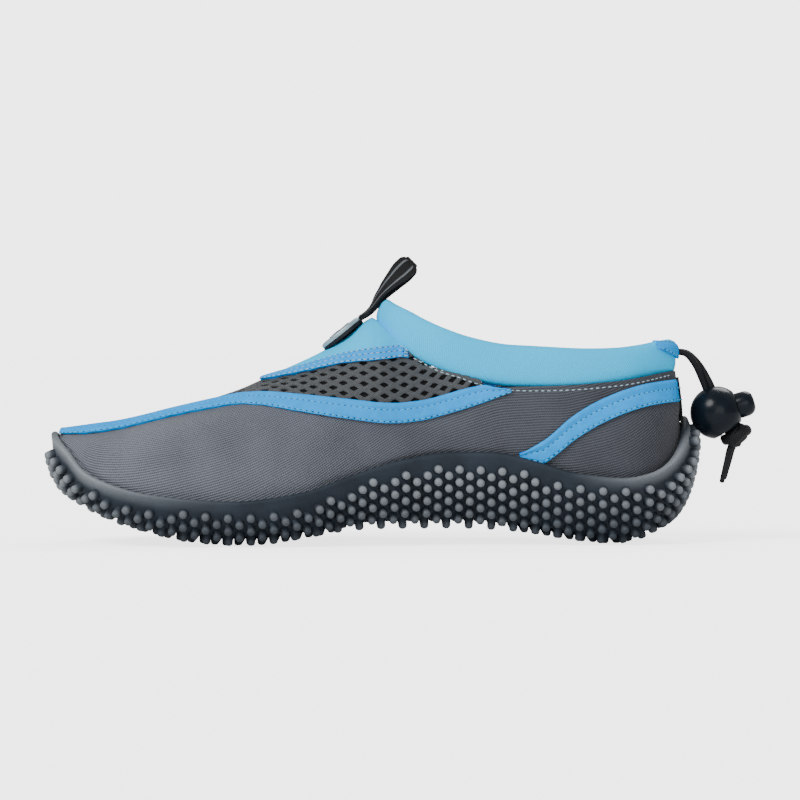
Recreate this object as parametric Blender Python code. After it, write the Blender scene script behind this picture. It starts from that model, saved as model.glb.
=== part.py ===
"""Slip-on neoprene water shoe for the right foot, with a studded rubber sole and a drawcord.

The toe points to -X, the heel to +X, the inner side of the foot to -Y, and +Z is up.
Sizes are in millimetres, and every mesh is made in metres.
"""

import math
from bisect import bisect_right

import bmesh
import bpy
from mathutils import Matrix, Vector

MM = 0.001
GAP = 0.35

# Plan of the sole's rim. The station s runs from 0 at the toe tip to 1 at the heel's back.
TOE_X = -124.0
HEEL_X = 124.0
HALF_WIDTH = ((0, 0), (0.1, 19), (0.2, 34.5), (0.3, 43), (0.4, 45), (0.5, 39.5), (0.6, 34),
              (0.7, 33.5), (0.8, 31), (0.9, 20), (1, 0))
CENTRE_LINE = ((0, -7), (0.1, -6.5), (0.2, -5), (0.3, -1.7), (0.4, 0.3), (0.5, 3), (0.6, 3.5),
               (0.7, 2), (0.8, 1), (0.9, 0.5), (1, 0.5))

# Sole: height of the bottom along X, height of the rim along s, and how far the wall leans out.
SOLE_LINE = ((-112, 19), (-104, 14.8), (-95, 11), (-83.5, 7.8), (-72, 5), (-60, 3.7), (-51, 3.3),
             (-42, 3.6), (-31.8, 5.0), (-20, 7), (-9, 8.6), (3, 9.2), (26, 9.2), (37, 9), (48.6, 8.4),
             (60, 7.2), (71.6, 5.4), (83, 3.9), (92, 3.3), (99, 4.2), (106, 7), (111, 10))
RIM_LINE = ((0, 39.8), (0.05, 38.8), (0.1, 35.5), (0.15, 27.7), (0.2, 23.1), (0.25, 19.8), (0.3, 17.9),
            (0.36, 16.7), (0.43, 19.9), (0.48, 26.4), (0.53, 32.3), (0.58, 35), (0.62, 34.9),
            (0.67, 31.1), (0.72, 26.7), (0.78, 25.1), (0.83, 27), (0.87, 30.5), (0.92, 37.5),
            (0.96, 44), (1, 48))
WALL_FLARE = ((0, 12), (0.15, 9), (0.3, 6.5), (0.5, 7), (0.6, 8), (0.75, 8), (0.9, 12), (1, 14))
RIM_LEAN = ((0.85, 0), (1, 2.6))
WALL = 2.6
FLOOR = 3.0
WALL_COLUMNS = 60
BOTTOM_COLUMNS = 6
STUD_INSET = 1.5
STUD_TAPER = 0.62
STUD_LENGTH = 3.3
GROUND_REACH = 1.0
ARCH_STUD_FREE = (-4, 44)

# Upper: its top line and the swell of its sides.
UPPER_TOE_X = -120.4
UPPER_HEEL_X = 115.8
TOP_LINE = ((-120.4, 42.4), (-116, 43.6), (-109, 45), (-100.7, 45.9), (-89, 48.1), (-77.7, 51.1),
            (-66, 54.1), (-54.8, 57.6), (-49, 59.8), (-43.3, 62.4), (-31.8, 67.4), (-20.3, 72.8),
            (-10, 79), (-2.7, 85), (5, 88.5), (12, 89.5), (20, 88), (30, 82.5), (45, 77), (60, 76),
            (85, 75), (105, 76.5), (115.8, 77))
TOP_HALF = ((8, 0), (20, 10), (30, 20), (45, 24), (60, 25), (85, 24), (100, 19.5), (110, 11.5),
            (114, 6), (115.8, 0))
TOP_CENTRE = ((0, -7), (0.2, -6.5), (0.35, -4), (0.5, -1), (0.6, 1), (0.7, 1.5), (0.85, 1), (1, 0.5))
SIDE_SWELL = ((0, 0), (0.2, 1), (0.4, 2.2), (0.55, 3), (0.7, 4), (0.9, 2), (1, 0))
ROUND_TOP = ((2, 1), (28, 0))
NEOPRENE = 2.4
MESH = 1.8
LINING = 0.7

# Seams, as heights along X: side band, tongue and collar.
BAND_FOOT = ((-121, 41.2), (-111.8, 41.6), (-104.5, 42.4), (-97, 43.6), (-87.4, 45.8), (-77.6, 48.2),
             (-63, 51.2), (-50, 53), (-44, 52.8), (-29, 50.7), (-10.7, 48), (7.7, 46.2), (18.4, 47.2),
             (28.3, 49.6), (39.1, 52.9), (52, 57.6), (62, 62),
             (72, 66), (116, 74))
BAND_WIDTH = ((-118, 4), (-105, 6.5), (-80, 8), (30, 7.6), (50, 5))
TONGUE_EDGE = ((-44, 62.2), (-26, 66.6), (-10, 70.6), (8, 72.8), (13, 73.2))
COLLAR_SEAM = ((-0.5, 85.9), (4.4, 80.8), (8.6, 76.7), (13.2, 72.9), (18.8, 69.7), (25.3, 66.4),
               (32.7, 64.1), (39.2, 61.8), (49.4, 59.4), (60, 59), (71.6, 59.2), (94.6, 61),
               (115.6, 64.9))
HEEL_BAND = ((56, 33.5), (60, 36.5), (66, 40.4), (75.8, 48.6), (85.6, 54.4), (95.3, 58.4),
             (105, 61), (116, 62.4))
HEEL_BAND_WIDTH = 8.6
BAND_LIFT = 0.45
BAND_THICK = 1.0

# Collar roll round the foot opening: middle of the roll, half height, half thickness and lean.
COLLAR_PATH = ((4.2, 0, 88.6), (6.4, 7.2, 86.4), (10.8, 13.6, 82.8), (17.6, 18.4, 78.6),
               (25.7, 21.4, 74.8), (36, 23.4, 71.2), (48.6, 24.2, 68.4), (60, 24.3, 67.5),
               (72, 24.0, 67.1), (84, 22.6, 67.1), (95, 19.4, 67.8), (103.5, 14.6, 69.1),
               (109.3, 9.6, 70.3), (112.2, 5.4, 70.9))
COLLAR_HEIGHT = ((4, 5.0), (12, 7.2), (26, 7.7), (60, 7.9), (84, 7.0), (105, 5.9), (113, 5.8))
COLLAR_LEAN = ((4, 0.78), (14, 0.42), (30, 0.12), (60, 0), (113, 0))
COLLAR_THICK = 2.7
TUNNEL = 1.75
CORD = 1.25

PATCH_CENTRE = (100.2, 0.5)
PATCH_REACH = 16.9
EYELET = 1.75

# Drawcord, lock and knot behind the heel. The lock's axis rises towards +X.
LOCK_CENTRE = (132.9, 0.5, 49.6)
LOCK_RADIUS = 10.2
LOCK_TILT = 17
PLUNGER_RADIUS = 4.9
PLUNGER_BORE = 5.3
PLUNGER_REACH = 15.2
KNOT_CENTRE = (139.7, 0.5, 39.3)
KNOT_RADII = (5.3, 5.0, 3.9)
KNOT_LEAN = 33

COLOURS = {
    "rubber": (0.03, 0.038, 0.05), "board": (0.35, 0.33, 0.28), "footbed": (0.05, 0.05, 0.055),
    "grey": (0.165, 0.19, 0.245), "mesh": (0.045, 0.05, 0.06), "lining": (0.06, 0.06, 0.065),
    "cyan": (0.05, 0.55, 0.75), "sky": (0.10, 0.45, 0.75), "black": (0.008, 0.009, 0.011),
    "silver": (0.55, 0.62, 0.66), "steel": (0.5, 0.5, 0.52),
}


def through(points, x):
    """Value at x of the smooth curve through (x, value) points, with no overshoot."""
    xs = [point[0] for point in points]
    if x <= xs[0]:
        return points[0][1]
    if x >= xs[-1]:
        return points[-1][1]
    k = bisect_right(xs, x) - 1

    def secant(i):
        return (points[i + 1][1] - points[i][1]) / (xs[i + 1] - xs[i])

    def slope(i):
        if i == 0:
            return secant(0)
        if i == len(points) - 1:
            return secant(i - 1)
        before, after = secant(i - 1), secant(i)
        return 0 if before * after <= 0 else 2 * before * after / (before + after)

    width = xs[k + 1] - xs[k]
    t = (x - xs[k]) / width
    low, high = points[k][1], points[k + 1][1]
    bend = (1 - t) * slope(k) - t * slope(k + 1)
    ease = t * t * (3 - 2 * t)
    return low + (high - low) * ease + width * t * (1 - t) * bend


def solve(rises, low, high):
    """Argument between low and high at which a rising function passes zero."""
    for _ in range(36):
        middle = (low + high) / 2
        if rises(middle) < 0:
            low = middle
        else:
            high = middle
    return (low + high) / 2


def along(start, end, s):
    return start + (end - start) * (1 - math.cos(math.pi * s)) / 2


def outline(s, side):
    """Point of the rim's plan on one side: -1 is the inner side of the foot, +1 the outer side."""
    return Vector((along(TOE_X, HEEL_X, s), through(CENTRE_LINE, s) + side * through(HALF_WIDTH, s)))


def plan(s, side, inset):
    """Point of the rim's plan moved inwards along its normal."""
    s = min(max(s, 0), 1)
    step = 0.002
    ahead = outline(min(s + step, 1), side) - outline(max(s - step, 0), side)
    if s == 0:
        ahead = Vector((0, side))
    if s == 1:
        ahead = Vector((0, -side))
    normal = side * Vector((-ahead.y, ahead.x)).normalized()
    return outline(s, side) - normal * inset


def wall_heights(s, side):
    edge = plan(s, side, through(WALL_FLARE, s))
    return through(SOLE_LINE, edge.x), through(RIM_LINE, s)


def wall(s, side, angle, inset=0.0):
    """Point of the sole's wall, a quarter ellipse from the bottom edge (0) to the rim (pi/2)."""
    low, high = wall_heights(s, side)
    rise = 1 - math.cos(angle)
    lean = through(RIM_LEAN, s) * max(0, (rise - 0.7) / 0.3) ** 2
    at = plan(s, side, through(WALL_FLARE, s) * (1 - math.sin(angle)) + lean + inset)
    return Vector((at.x, at.y, low + (high - low) * rise))


def floor_angle(s, side, height):
    low, high = wall_heights(s, side)
    return math.acos(1 - height / (high - low))


def section(s, side, t):
    """Point of the upper's outer face: t from -1 at the floor to 0 at the rim and 1 at the top."""
    inset = WALL + GAP
    if t <= 0:
        start = floor_angle(s, side, FLOOR + 0.6)
        return wall(s, side, start + (math.pi / 2 - start) * (1 + t), inset)
    foot = wall(s, side, math.pi / 2, inset)
    x = along(UPPER_TOE_X, UPPER_HEEL_X, s)
    centre = through(TOP_CENTRE, s)
    top = Vector((x, centre + side * through(TOP_HALF, x), through(TOP_LINE, x)))
    rise = top.z - foot.z
    dome = through(ROUND_TOP, x)
    swell = side * through(SIDE_SWELL, s)
    low = foot + Vector((0, swell, (0.4 + 0.15 * dome) * rise))
    over = Vector((0, 0.55 * (foot.y - top.y), -0.02 * rise))
    beside = Vector((0, side * 2.5, -0.36 * rise))
    high = top + over.lerp(beside, 1 - dome)
    a = 1 - t
    return a ** 3 * foot + 3 * a * a * t * low + 3 * a * t * t * high + t ** 3 * top


def level(s, side, heights, start=0.0):
    """The t at which a station's section crosses a line of heights along X, or 1 above it."""
    def above(t):
        at = section(s, side, t)
        return at.z - through(heights, at.x)
    if above(1) < 0:
        return 1.0
    return solve(above, start, 1)


def walk(s, side, t, distance):
    """The t that lies a distance further up a station's section."""
    at = section(s, side, t)
    while distance > 0 and t < 1:
        t = min(t + 0.01, 1)
        step = section(s, side, t)
        distance -= (step - at).length
        at = step
    return t


def station(x):
    """The station whose top line point is at x."""
    return math.acos(1 - 2 * (x - UPPER_TOE_X) / (UPPER_HEEL_X - UPPER_TOE_X)) / math.pi


def spread(start, end, count):
    return [start + (end - start) * i / (count - 1) for i in range(count)]


def lifted(s, side, t, lift):
    """Point over the upper's outer face at a height along its normal."""
    step = 0.004
    along_s = section(min(s + step, 1), side, t) - section(max(s - step, 0), side, t)
    along_t = section(s, side, min(t + step, 1)) - section(s, side, t - step)
    normal = along_s.cross(along_t).normalized()
    if normal.dot(Vector((0, side, 0.4))) < 0 and 0.04 < s < 0.96:
        normal.negate()
    if s <= 0.04 and normal.x > 0 or s >= 0.96 and normal.x < 0:
        normal.negate()
    return section(s, side, t) + normal * lift


def material(name):
    key = f"finish_{name}"
    found = bpy.data.materials.get(key)
    if found:
        return found
    made = bpy.data.materials.new(key)
    made.use_nodes = True
    made.diffuse_color = (*COLOURS[name], 1)
    shader = made.node_tree.nodes["Principled BSDF"]
    shader.inputs["Base Color"].default_value = (*COLOURS[name], 1)
    shader.inputs["Roughness"].default_value = 0.35 if name in ("silver", "steel") else 0.8
    shader.inputs["Metallic"].default_value = 1.0 if name == "steel" else 0.0
    return made


def finish(name, bm, finish_name, merge=0.02):
    """Makes one object from a bmesh in millimetres: closed, facing out and in metres."""
    bmesh.ops.remove_doubles(bm, verts=bm.verts, dist=merge)
    bmesh.ops.dissolve_degenerate(bm, edges=bm.edges, dist=0.001)
    bmesh.ops.recalc_face_normals(bm, faces=bm.faces)
    if bm.calc_volume(signed=True) < 0:
        bmesh.ops.reverse_faces(bm, faces=bm.faces)
    bmesh.ops.scale(bm, verts=bm.verts, vec=(MM, MM, MM))
    mesh = bpy.data.meshes.new(name)
    bm.to_mesh(mesh)
    bm.free()
    mesh.materials.append(material(finish_name))
    mesh.shade_smooth()
    mesh.set_sharp_from_angle(angle=math.radians(40))
    obj = bpy.data.objects.new(name, mesh)
    bpy.context.scene.collection.objects.link(obj)
    return obj


def skin(bm, rows):
    """Faces over a grid of vertex rows."""
    faces = []
    for row, following in zip(rows, rows[1:]):
        for j in range(len(row) - 1):
            faces.append(bm.faces.new((row[j], row[j + 1], following[j + 1], following[j])))
    return faces


def slab(name, top, bottom, finish_name):
    """A closed sheet between two grids of points with the same rows and columns."""
    bm = bmesh.new()
    over = [[bm.verts.new(at) for at in row] for row in top]
    under = [[bm.verts.new(at) for at in row] for row in bottom]
    skin(bm, over)
    skin(bm, under)
    skin(bm, [over[0], under[0]])
    skin(bm, [over[-1], under[-1]])
    skin(bm, [[row[0] for row in over], [row[0] for row in under]])
    skin(bm, [[row[-1] for row in over], [row[-1] for row in under]])
    return finish(name, bm, finish_name)


def panel(name, side, stations, low, high, columns, outer, inner, finish_name):
    """A sheet of the upper between two seams, given as functions of the station."""
    top, bottom = [], []
    for s in stations:
        ts = spread(low(s), high(s), columns)
        top.append([lifted(s, side, t, outer) for t in ts])
        bottom.append([lifted(s, side, t, inner) for t in ts])
    return slab(name, top, bottom, finish_name)


def both_sides(name, stations, low, columns, outer, inner, finish_name):
    """A sheet that crosses the ridge of the forefoot from one side's seam to the other's."""
    top, bottom = [], []
    for s in stations:
        rows = {}
        for lift in (outer, inner):
            left = [lifted(s, -1, t, lift) for t in spread(low(s, -1), 1, columns)]
            right = [lifted(s, 1, t, lift) for t in spread(low(s, 1), 1, columns)]
            middle = (left[-1] + right[-1]) / 2
            rows[lift] = left[:-1] + [middle] + right[-2::-1]
        top.append(rows[outer])
        bottom.append(rows[inner])
    return slab(name, top, bottom, finish_name)


# ---- sole ----

def wall_stations():
    """Stations round the whole rim, closest together where the plan turns fastest."""
    half = WALL_COLUMNS // 2
    inner = [(i / half, -1) for i in range(half)]
    outer = [(1 - i / half, 1) for i in range(half)]
    return inner + outer


def add_studs(bm, faces):
    """Raises a tapered stud from the middle of each face."""
    for face in faces:
        size = math.sqrt(face.calc_area())
        normal = face.normal.copy()
        bmesh.ops.inset_individual(bm, faces=[face], thickness=min(STUD_INSET, 0.28 * size))
        tip = bmesh.ops.extrude_discrete_faces(bm, faces=[face])["faces"][0]
        middle = tip.calc_center_median()
        for vert in tip.verts:
            vert.co = middle + (vert.co - middle) * STUD_TAPER + normal * STUD_LENGTH


def make_outsole():
    """A rubber cup: studded wall and bottom, open inside."""
    bm = bmesh.new()
    ring = wall_stations()
    angles = (0, 0.3, 0.55, 0.8, 1)

    def add(points):
        return [bm.verts.new(at) for at in points]

    outer = [add([wall(s, side, math.pi / 2 * a) for s, side in ring]) for a in angles]
    inner_rows = []
    for part in (1, 0.5, 0):
        points = []
        for s, side in ring:
            start = floor_angle(s, side, FLOOR)
            points.append(wall(s, side, start + (math.pi / 2 - start) * part, WALL))
        inner_rows.append(add(points))
    closed = [row + row[:1] for row in outer + inner_rows]
    walls = [skin(bm, closed[i:i + 2]) for i in range(len(closed) - 1)]

    def deck(edge_ring, rise):
        """Faces across the cup between its two long edges."""
        half = WALL_COLUMNS // 2
        rows = [[edge_ring[0]] * (BOTTOM_COLUMNS + 1)]
        for i in range(1, half):
            first, last = edge_ring[i], edge_ring[WALL_COLUMNS - i]
            between = []
            for share in spread(0, 1, BOTTOM_COLUMNS + 1)[1:-1]:
                at = first.co.lerp(last.co, share)
                at.z = through(SOLE_LINE, at.x) + rise
                between.append(bm.verts.new(at))
            rows.append([first] + between + [last])
        rows.append([edge_ring[half]] * (BOTTOM_COLUMNS + 1))
        faces = []
        for row, following in zip(rows, rows[1:]):
            for j in range(BOTTOM_COLUMNS):
                corners = []
                for vert in (row[j], row[j + 1], following[j + 1], following[j]):
                    if vert not in corners:
                        corners.append(vert)
                faces.append(bm.faces.new(corners))
        return faces

    bottom = deck(outer[0], 0)
    deck(inner_rows[-1], FLOOR)
    bmesh.ops.recalc_face_normals(bm, faces=bm.faces)
    bm.normal_update()
    chosen = []
    for row, faces in enumerate(walls[:3]):
        chosen += [face for i, face in enumerate(faces) if (i + row) % 2 == 0]
    for i, face in enumerate(bottom):
        x = face.calc_center_median().x
        across, column = divmod(i, BOTTOM_COLUMNS)
        free = ARCH_STUD_FREE[0] < x < ARCH_STUD_FREE[1]
        if (across + column) % 2 == 0 and not free and len(face.verts) == 4 and -98 < x < 102:
            chosen.append(face)
    bottom_faces = set(bottom)
    under = [face for face in chosen if face in bottom_faces]
    beside = [face for face in chosen if face not in bottom_faces]
    add_studs(bm, beside)
    add_studs(bm, under)
    flatten_tips(bm)
    return finish("outsole", bm, "rubber")


def flatten_tips(bm):
    """Cuts every stud that reaches the ground level with it."""
    for vert in bm.verts:
        if vert.co.z < GROUND_REACH:
            vert.co.z = 0


def deck_layer(name, low, high, inset, finish_name):
    """A flat layer lying in the cup, following its floor."""
    stations = spread(0.012, 0.988, 26)
    top, bottom = [], []
    for s in stations:
        edges = []
        for side in (-1, 1):
            start = floor_angle(s, side, FLOOR + low)
            edges.append(wall(s, side, start, WALL + inset))
        rows = {low: [], high: []}
        for share in spread(0, 1, 6):
            at = edges[0].lerp(edges[1], share)
            for rise in (low, high):
                z = through(SOLE_LINE, at.x) + FLOOR + rise
                rows[rise].append(Vector((at.x, at.y, z)))
        top.append(rows[high])
        bottom.append(rows[low])
    return slab(name, top, bottom, finish_name)


# ---- upper ----

UPPER_STATIONS = 30


def quarter_top(s, side):
    """The quarter reaches the middle of the side band, then the collar seam."""
    band = walk(s, side, level(s, side, BAND_FOOT), through(BAND_WIDTH, section(s, side, 1).x) / 2)
    return min(band, level(s, side, COLLAR_SEAM))


def make_quarter(name, side):
    stations = spread(0.006, 0.994, UPPER_STATIONS)
    top, bottom = [], []
    for s in stations:
        high = quarter_top(s, side)
        ts = [-1, -0.5, 0] + [high * share for share in (0.2, 0.4, 0.6, 0.8, 1)]
        top.append([lifted(s, side, t, 0) for t in ts])
        bottom.append([lifted(s, side, t, -NEOPRENE) for t in ts])
    return slab(name, top, bottom, "grey")


def mesh_low(s, side):
    return walk(s, side, quarter_top(s, side), 0.5)


def make_vamp():
    """Forefoot mesh in front of the tongue, and one mesh side panel on each side of it."""
    front = spread(station(-119), station(-44.6), 15)
    both_sides("vamp_mesh_front", front, mesh_low, 4, 0, -MESH, "mesh")
    for name, side in (("vamp_mesh_medial", -1), ("vamp_mesh_lateral", 1)):
        stations = spread(station(-44), station(36), 16)

        def high(s, side=side):
            tongue = level(s, side, TONGUE_EDGE) if section(s, side, 1).x < 14 else 1
            return max(min(tongue, level(s, side, COLLAR_SEAM)), mesh_low(s, side) + 0.01)

        panel(name, side, stations, lambda s, side=side: mesh_low(s, side), high, 5, 0, -MESH, "mesh")


def tongue_low(s, side):
    return walk(s, side, level(s, side, TONGUE_EDGE), 0.9)


def make_tongue():
    """Tongue panel from its point up to the collar seam, trimmed round the ankle."""
    stations = spread(station(-41.5), station(10.5), 15)
    top, bottom = [], []
    columns = 5
    for s in stations:
        rows = {}
        for lift in (0, -NEOPRENE):
            halves = []
            for side in (-1, 1):
                high = min(level(s, side, COLLAR_SEAM), 1) if section(s, side, 1).x > -1.5 else 1
                low = min(tongue_low(s, side), high - 0.02)
                halves.append([lifted(s, side, t, lift) for t in spread(low, high, columns)])
            left, right = halves
            if (left[-1] - right[-1]).length < 3:
                middle = (left[-1] + right[-1]) / 2
                left[-1] = middle
                right[-1] = middle
            rows[lift] = (left, right)
        top.append(rows[0])
        bottom.append(rows[-NEOPRENE])
    return notched_slab("tongue_panel", top, bottom, "cyan")


def notched_slab(name, top, bottom, finish_name):
    """A sheet of two halves joined along the ridge until a notch parts them."""
    bm = bmesh.new()
    for half in (0, 1):
        over = [[bm.verts.new(at) for at in row[half]] for row in top]
        under = [[bm.verts.new(at) for at in row[half]] for row in bottom]
        skin(bm, over)
        skin(bm, under)
        skin(bm, [over[0], under[0]])
        skin(bm, [over[-1], under[-1]])
        skin(bm, [[row[0] for row in over], [row[0] for row in under]])
        joined = sum(1 for row in top if (row[0][-1] - row[1][-1]).length < 0.01)
        edge = list(zip([row[-1] for row in over], [row[-1] for row in under]))[joined - 1:]
        skin(bm, [[pair[0] for pair in edge], [pair[1] for pair in edge]])
    bmesh.ops.remove_doubles(bm, verts=bm.verts, dist=0.02)
    return finish(name, bm, finish_name)


def make_bands(name_end, side):
    """Stitched trim over the seams of one side."""
    def side_low(s):
        return level(s, side, BAND_FOOT)

    def side_high(s):
        width = through(BAND_WIDTH, section(s, side, 1).x)
        return min(walk(s, side, side_low(s), width), 0.985, level(s, side, COLLAR_SEAM))

    stations = spread(station(-118.5), station(43), 30)
    panel("side_band_" + name_end, side, stations, side_low, side_high, 3,
          BAND_LIFT + BAND_THICK, BAND_LIFT, "sky")

    def tongue_mid(s):
        return level(s, side, TONGUE_EDGE)

    def trim_low(s):
        return tongue_mid(s) - (walk(s, side, tongue_mid(s), 2.6) - tongue_mid(s))

    def trim_high(s):
        return min(walk(s, side, tongue_mid(s), 2.8), 0.97, level(s, side, COLLAR_SEAM) - 0.005)

    stations = spread(station(-41), station(9.5), 15)
    panel("tongue_band_" + name_end, side, stations, trim_low, trim_high, 3,
          BAND_LIFT + BAND_THICK, BAND_LIFT, "sky")

    def heel_high(s):
        return level(s, side, HEEL_BAND)

    def heel_low(s):
        high = heel_high(s)
        return max(high - (walk(s, side, high, HEEL_BAND_WIDTH) - high), 0.035)

    stations = spread(station(62), 0.985, 18)
    panel("heel_band_" + name_end, side, stations, heel_low, heel_high, 3,
          BAND_LIFT + BAND_THICK, BAND_LIFT, "sky")


def make_lining():
    """Thin lining inside the forefoot mesh and the tongue."""
    stations = spread(station(-108), station(-6), 15)
    inner = -(NEOPRENE + 0.5)
    both_sides("vamp_lining", stations, mesh_low, 5, inner, inner - LINING, "lining")


def make_heel_tape():
    """Dark binding over the seam at the heel's back."""
    top, bottom = [], []
    outer = BAND_LIFT + BAND_THICK + 0.5
    for t in (0.06, 0.2, 0.34, 0.5):
        rows = {}
        for lift in (outer + 0.8, outer):
            left = [lifted(s, -1, t, lift) for s in (0.972, 0.985, 0.994)]
            right = [lifted(s, 1, t, lift) for s in (0.994, 0.985, 0.972)]
            rows[lift] = left + right
        top.append(rows[outer + 0.8])
        bottom.append(rows[outer])
    return slab("heel_back_tape", top, bottom, "black")


# ---- collar and drawcord ----

def collar_route():
    """Middle of the collar roll from one end at the heel, round the front, to the other."""
    points = [Vector((x, -y + 0.5, z)) for x, y, z in COLLAR_PATH]
    points = points[::-1] + [Vector((x, y + 0.5, z)) for x, y, z in COLLAR_PATH[1:]]
    return points


def smoothed(points, per_span):
    """Points along the smooth curve through some points."""
    made = []
    for i in range(len(points) - 1):
        before = points[max(i - 1, 0)]
        start, end = points[i], points[i + 1]
        after = points[min(i + 2, len(points) - 1)]
        for k in range(per_span):
            t = k / per_span
            a = 2 * start + (end - before) * t
            b = (2 * before - 5 * start + 4 * end - after) * t * t
            c = (3 * start - before - 3 * end + after) * t ** 3
            made.append((a + b + c) / 2)
    made.append(points[-1].copy())
    return made


def frames(path, lean_of):
    """Tangent, height and thickness directions at each point of a route."""
    made = []
    for i, at in enumerate(path):
        tangent = (path[min(i + 1, len(path) - 1)] - path[max(i - 1, 0)]).normalized()
        height = Vector((lean_of(at), 0, 1))
        height = (height - tangent * height.dot(tangent)).normalized()
        made.append((tangent, height, tangent.cross(height)))
    return made


def make_collar():
    """A padded roll with a round tunnel for the drawcord, open at both ends."""
    path = collar_route()
    turned = frames(path, lambda at: through(COLLAR_LEAN, at.x))
    bm = bmesh.new()
    outer, inner = [], []
    sides = 10
    for at, (_, height, thick) in zip(path, turned):
        tall = through(COLLAR_HEIGHT, at.x)
        ring = []
        for k in range(sides):
            a = 2 * math.pi * k / sides
            up = math.copysign(abs(math.cos(a)) ** 0.75, math.cos(a))
            out = math.copysign(abs(math.sin(a)) ** 0.75, math.sin(a))
            ring.append(bm.verts.new(at + height * tall * up + thick * COLLAR_THICK * out))
        outer.append(ring + ring[:1])
        ring = []
        for k in range(sides):
            a = 2 * math.pi * k / sides
            ring.append(bm.verts.new(at + (height * math.cos(a) + thick * math.sin(a)) * TUNNEL))
        inner.append(ring + ring[:1])
    skin(bm, outer)
    skin(bm, inner)
    skin(bm, [outer[0], inner[0]])
    skin(bm, [outer[-1], inner[-1]])
    return finish("collar", bm, "cyan")


def tube(name, points, radius, finish_name, resolution=2):
    """A cord: a curve with a round section and closed ends."""
    data = bpy.data.curves.new(name, "CURVE")
    data.dimensions = "3D"
    data.bevel_depth = radius * MM
    data.bevel_resolution = resolution
    data.use_fill_caps = True
    spline = data.splines.new("POLY")
    spline.points.add(len(points) - 1)
    for point, at in zip(spline.points, points):
        point.co = (at.x * MM, at.y * MM, at.z * MM, 1)
    data.materials.append(material(finish_name))
    obj = bpy.data.objects.new(name, data)
    bpy.context.scene.collection.objects.link(obj)
    return obj


def lock_axis():
    return Vector((math.cos(math.radians(LOCK_TILT)), 0, math.sin(math.radians(LOCK_TILT))))


def lock_cross():
    """Direction of the cord hole through the lock, upwards."""
    axis = lock_axis()
    return Vector((-axis.z, 0, axis.x))


# Hand-chosen routes of the two strands, from the heel patch through the lock to the knot.
STRAND_MEDIAL = ((119.0, -0.9, 73.2), (120.9, -0.9, 72.5), (123.3, -0.9, 70.1), (125.3, -0.6, 66.9),
                 (126.9, 0.1, 63.3), (128.2, 0.4, 60.3), (129.6, 0.5, 56.4), (131.4, 0.5, 49.2),
                 (133.2, 0.5, 43.3), (134.2, 0.5, 40.8))
STRAND_LATERAL = ((119.0, 2.9, 73.2), (121.4, 2.9, 72.7), (124.6, 2.8, 70.4), (127.3, 2.3, 67.2),
                  (129.3, 1.4, 63.8), (130.8, 0.7, 60.9), (132.4, 0.5, 57.2), (134.4, 0.5, 50.1),
                  (135.8, 0.5, 45.2), (136.4, 0.5, 43.2))
TAIL_MEDIAL = ((138.0, 0.5, 34.9), (137.2, 0.1, 31.8), (136.0, -0.4, 27.0), (134.9, -0.8, 22.6))
TAIL_LATERAL = ((138.9, 2.4, 34.9), (138.2, 2.7, 31.8), (137.0, 2.4, 27.4), (136.0, 2.1, 23.8))


def make_cords():
    inner = collar_route()
    ends = {-1: STRAND_MEDIAL[0], 1: STRAND_LATERAL[0]}
    bridge = {side: Vector((ends[side][0] - 3.0, ends[side][1], ends[side][2] - 0.2)) for side in ends}
    turn = {side: Vector((114.9, (ends[side][1] + inner[-1 if side > 0 else 0].y) / 2, 72.3))
            for side in ends}
    inner = [bridge[-1], turn[-1]] + inner + [turn[1], bridge[1]]
    tube("collar_drawcord", smoothed(inner, 1), CORD, "black", 1)
    for name, points in (("drawcord_medial", STRAND_MEDIAL), ("drawcord_lateral", STRAND_LATERAL),
                         ("cord_tail_medial", TAIL_MEDIAL), ("cord_tail_lateral", TAIL_LATERAL)):
        start = Vector(points[0])
        route = [Vector(at) for at in points]
        if name.startswith("drawcord"):
            route[0] = start + Vector((-1.5, 0, 0))
        tube(name, smoothed(route, 2), CORD if "draw" in name else 1.05, "black")


def make_end_patch():
    """Cap over the two ends of the collar at the heel, with one eyelet for each strand."""
    rows_out, rows_in = [], []
    for z in (65.9, 69.4, 73.4, 77.4):
        out, inside = [], []
        for degrees in (-48, -32, -16, 0, 16, 32, 48):
            a = math.radians(degrees)
            for ring, reach in ((out, PATCH_REACH + 1.2), (inside, PATCH_REACH)):
                x = PATCH_CENTRE[0] + reach * math.cos(a)
                ring.append(Vector((x, PATCH_CENTRE[1] + reach * math.sin(a), z)))
        rows_out.append(out)
        rows_in.append(inside)
    obj = slab("collar_end_patch", rows_out, rows_in, "sky")
    for y in (STRAND_MEDIAL[0][1], STRAND_LATERAL[0][1]):
        cut(obj, cylinder("eyelet_cutter", (118, y, 73.1), (1, 0, 0), EYELET, 8, 12))
    return obj


def placed(bm, centre, axis):
    """Turns a mesh made along +Z so that it lies along an axis at a centre."""
    turn = Vector(axis).to_track_quat("Z", "Y").to_matrix().to_4x4()
    bmesh.ops.transform(bm, matrix=Matrix.Translation(Vector(centre)) @ turn, verts=bm.verts)


def cylinder(name, centre, axis, radius, length, segments, finish_name="black"):
    bm = bmesh.new()
    bmesh.ops.create_cone(bm, cap_ends=True, segments=segments, radius1=radius, radius2=radius,
                          depth=length)
    placed(bm, centre, axis)
    return finish(name, bm, finish_name)


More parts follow.
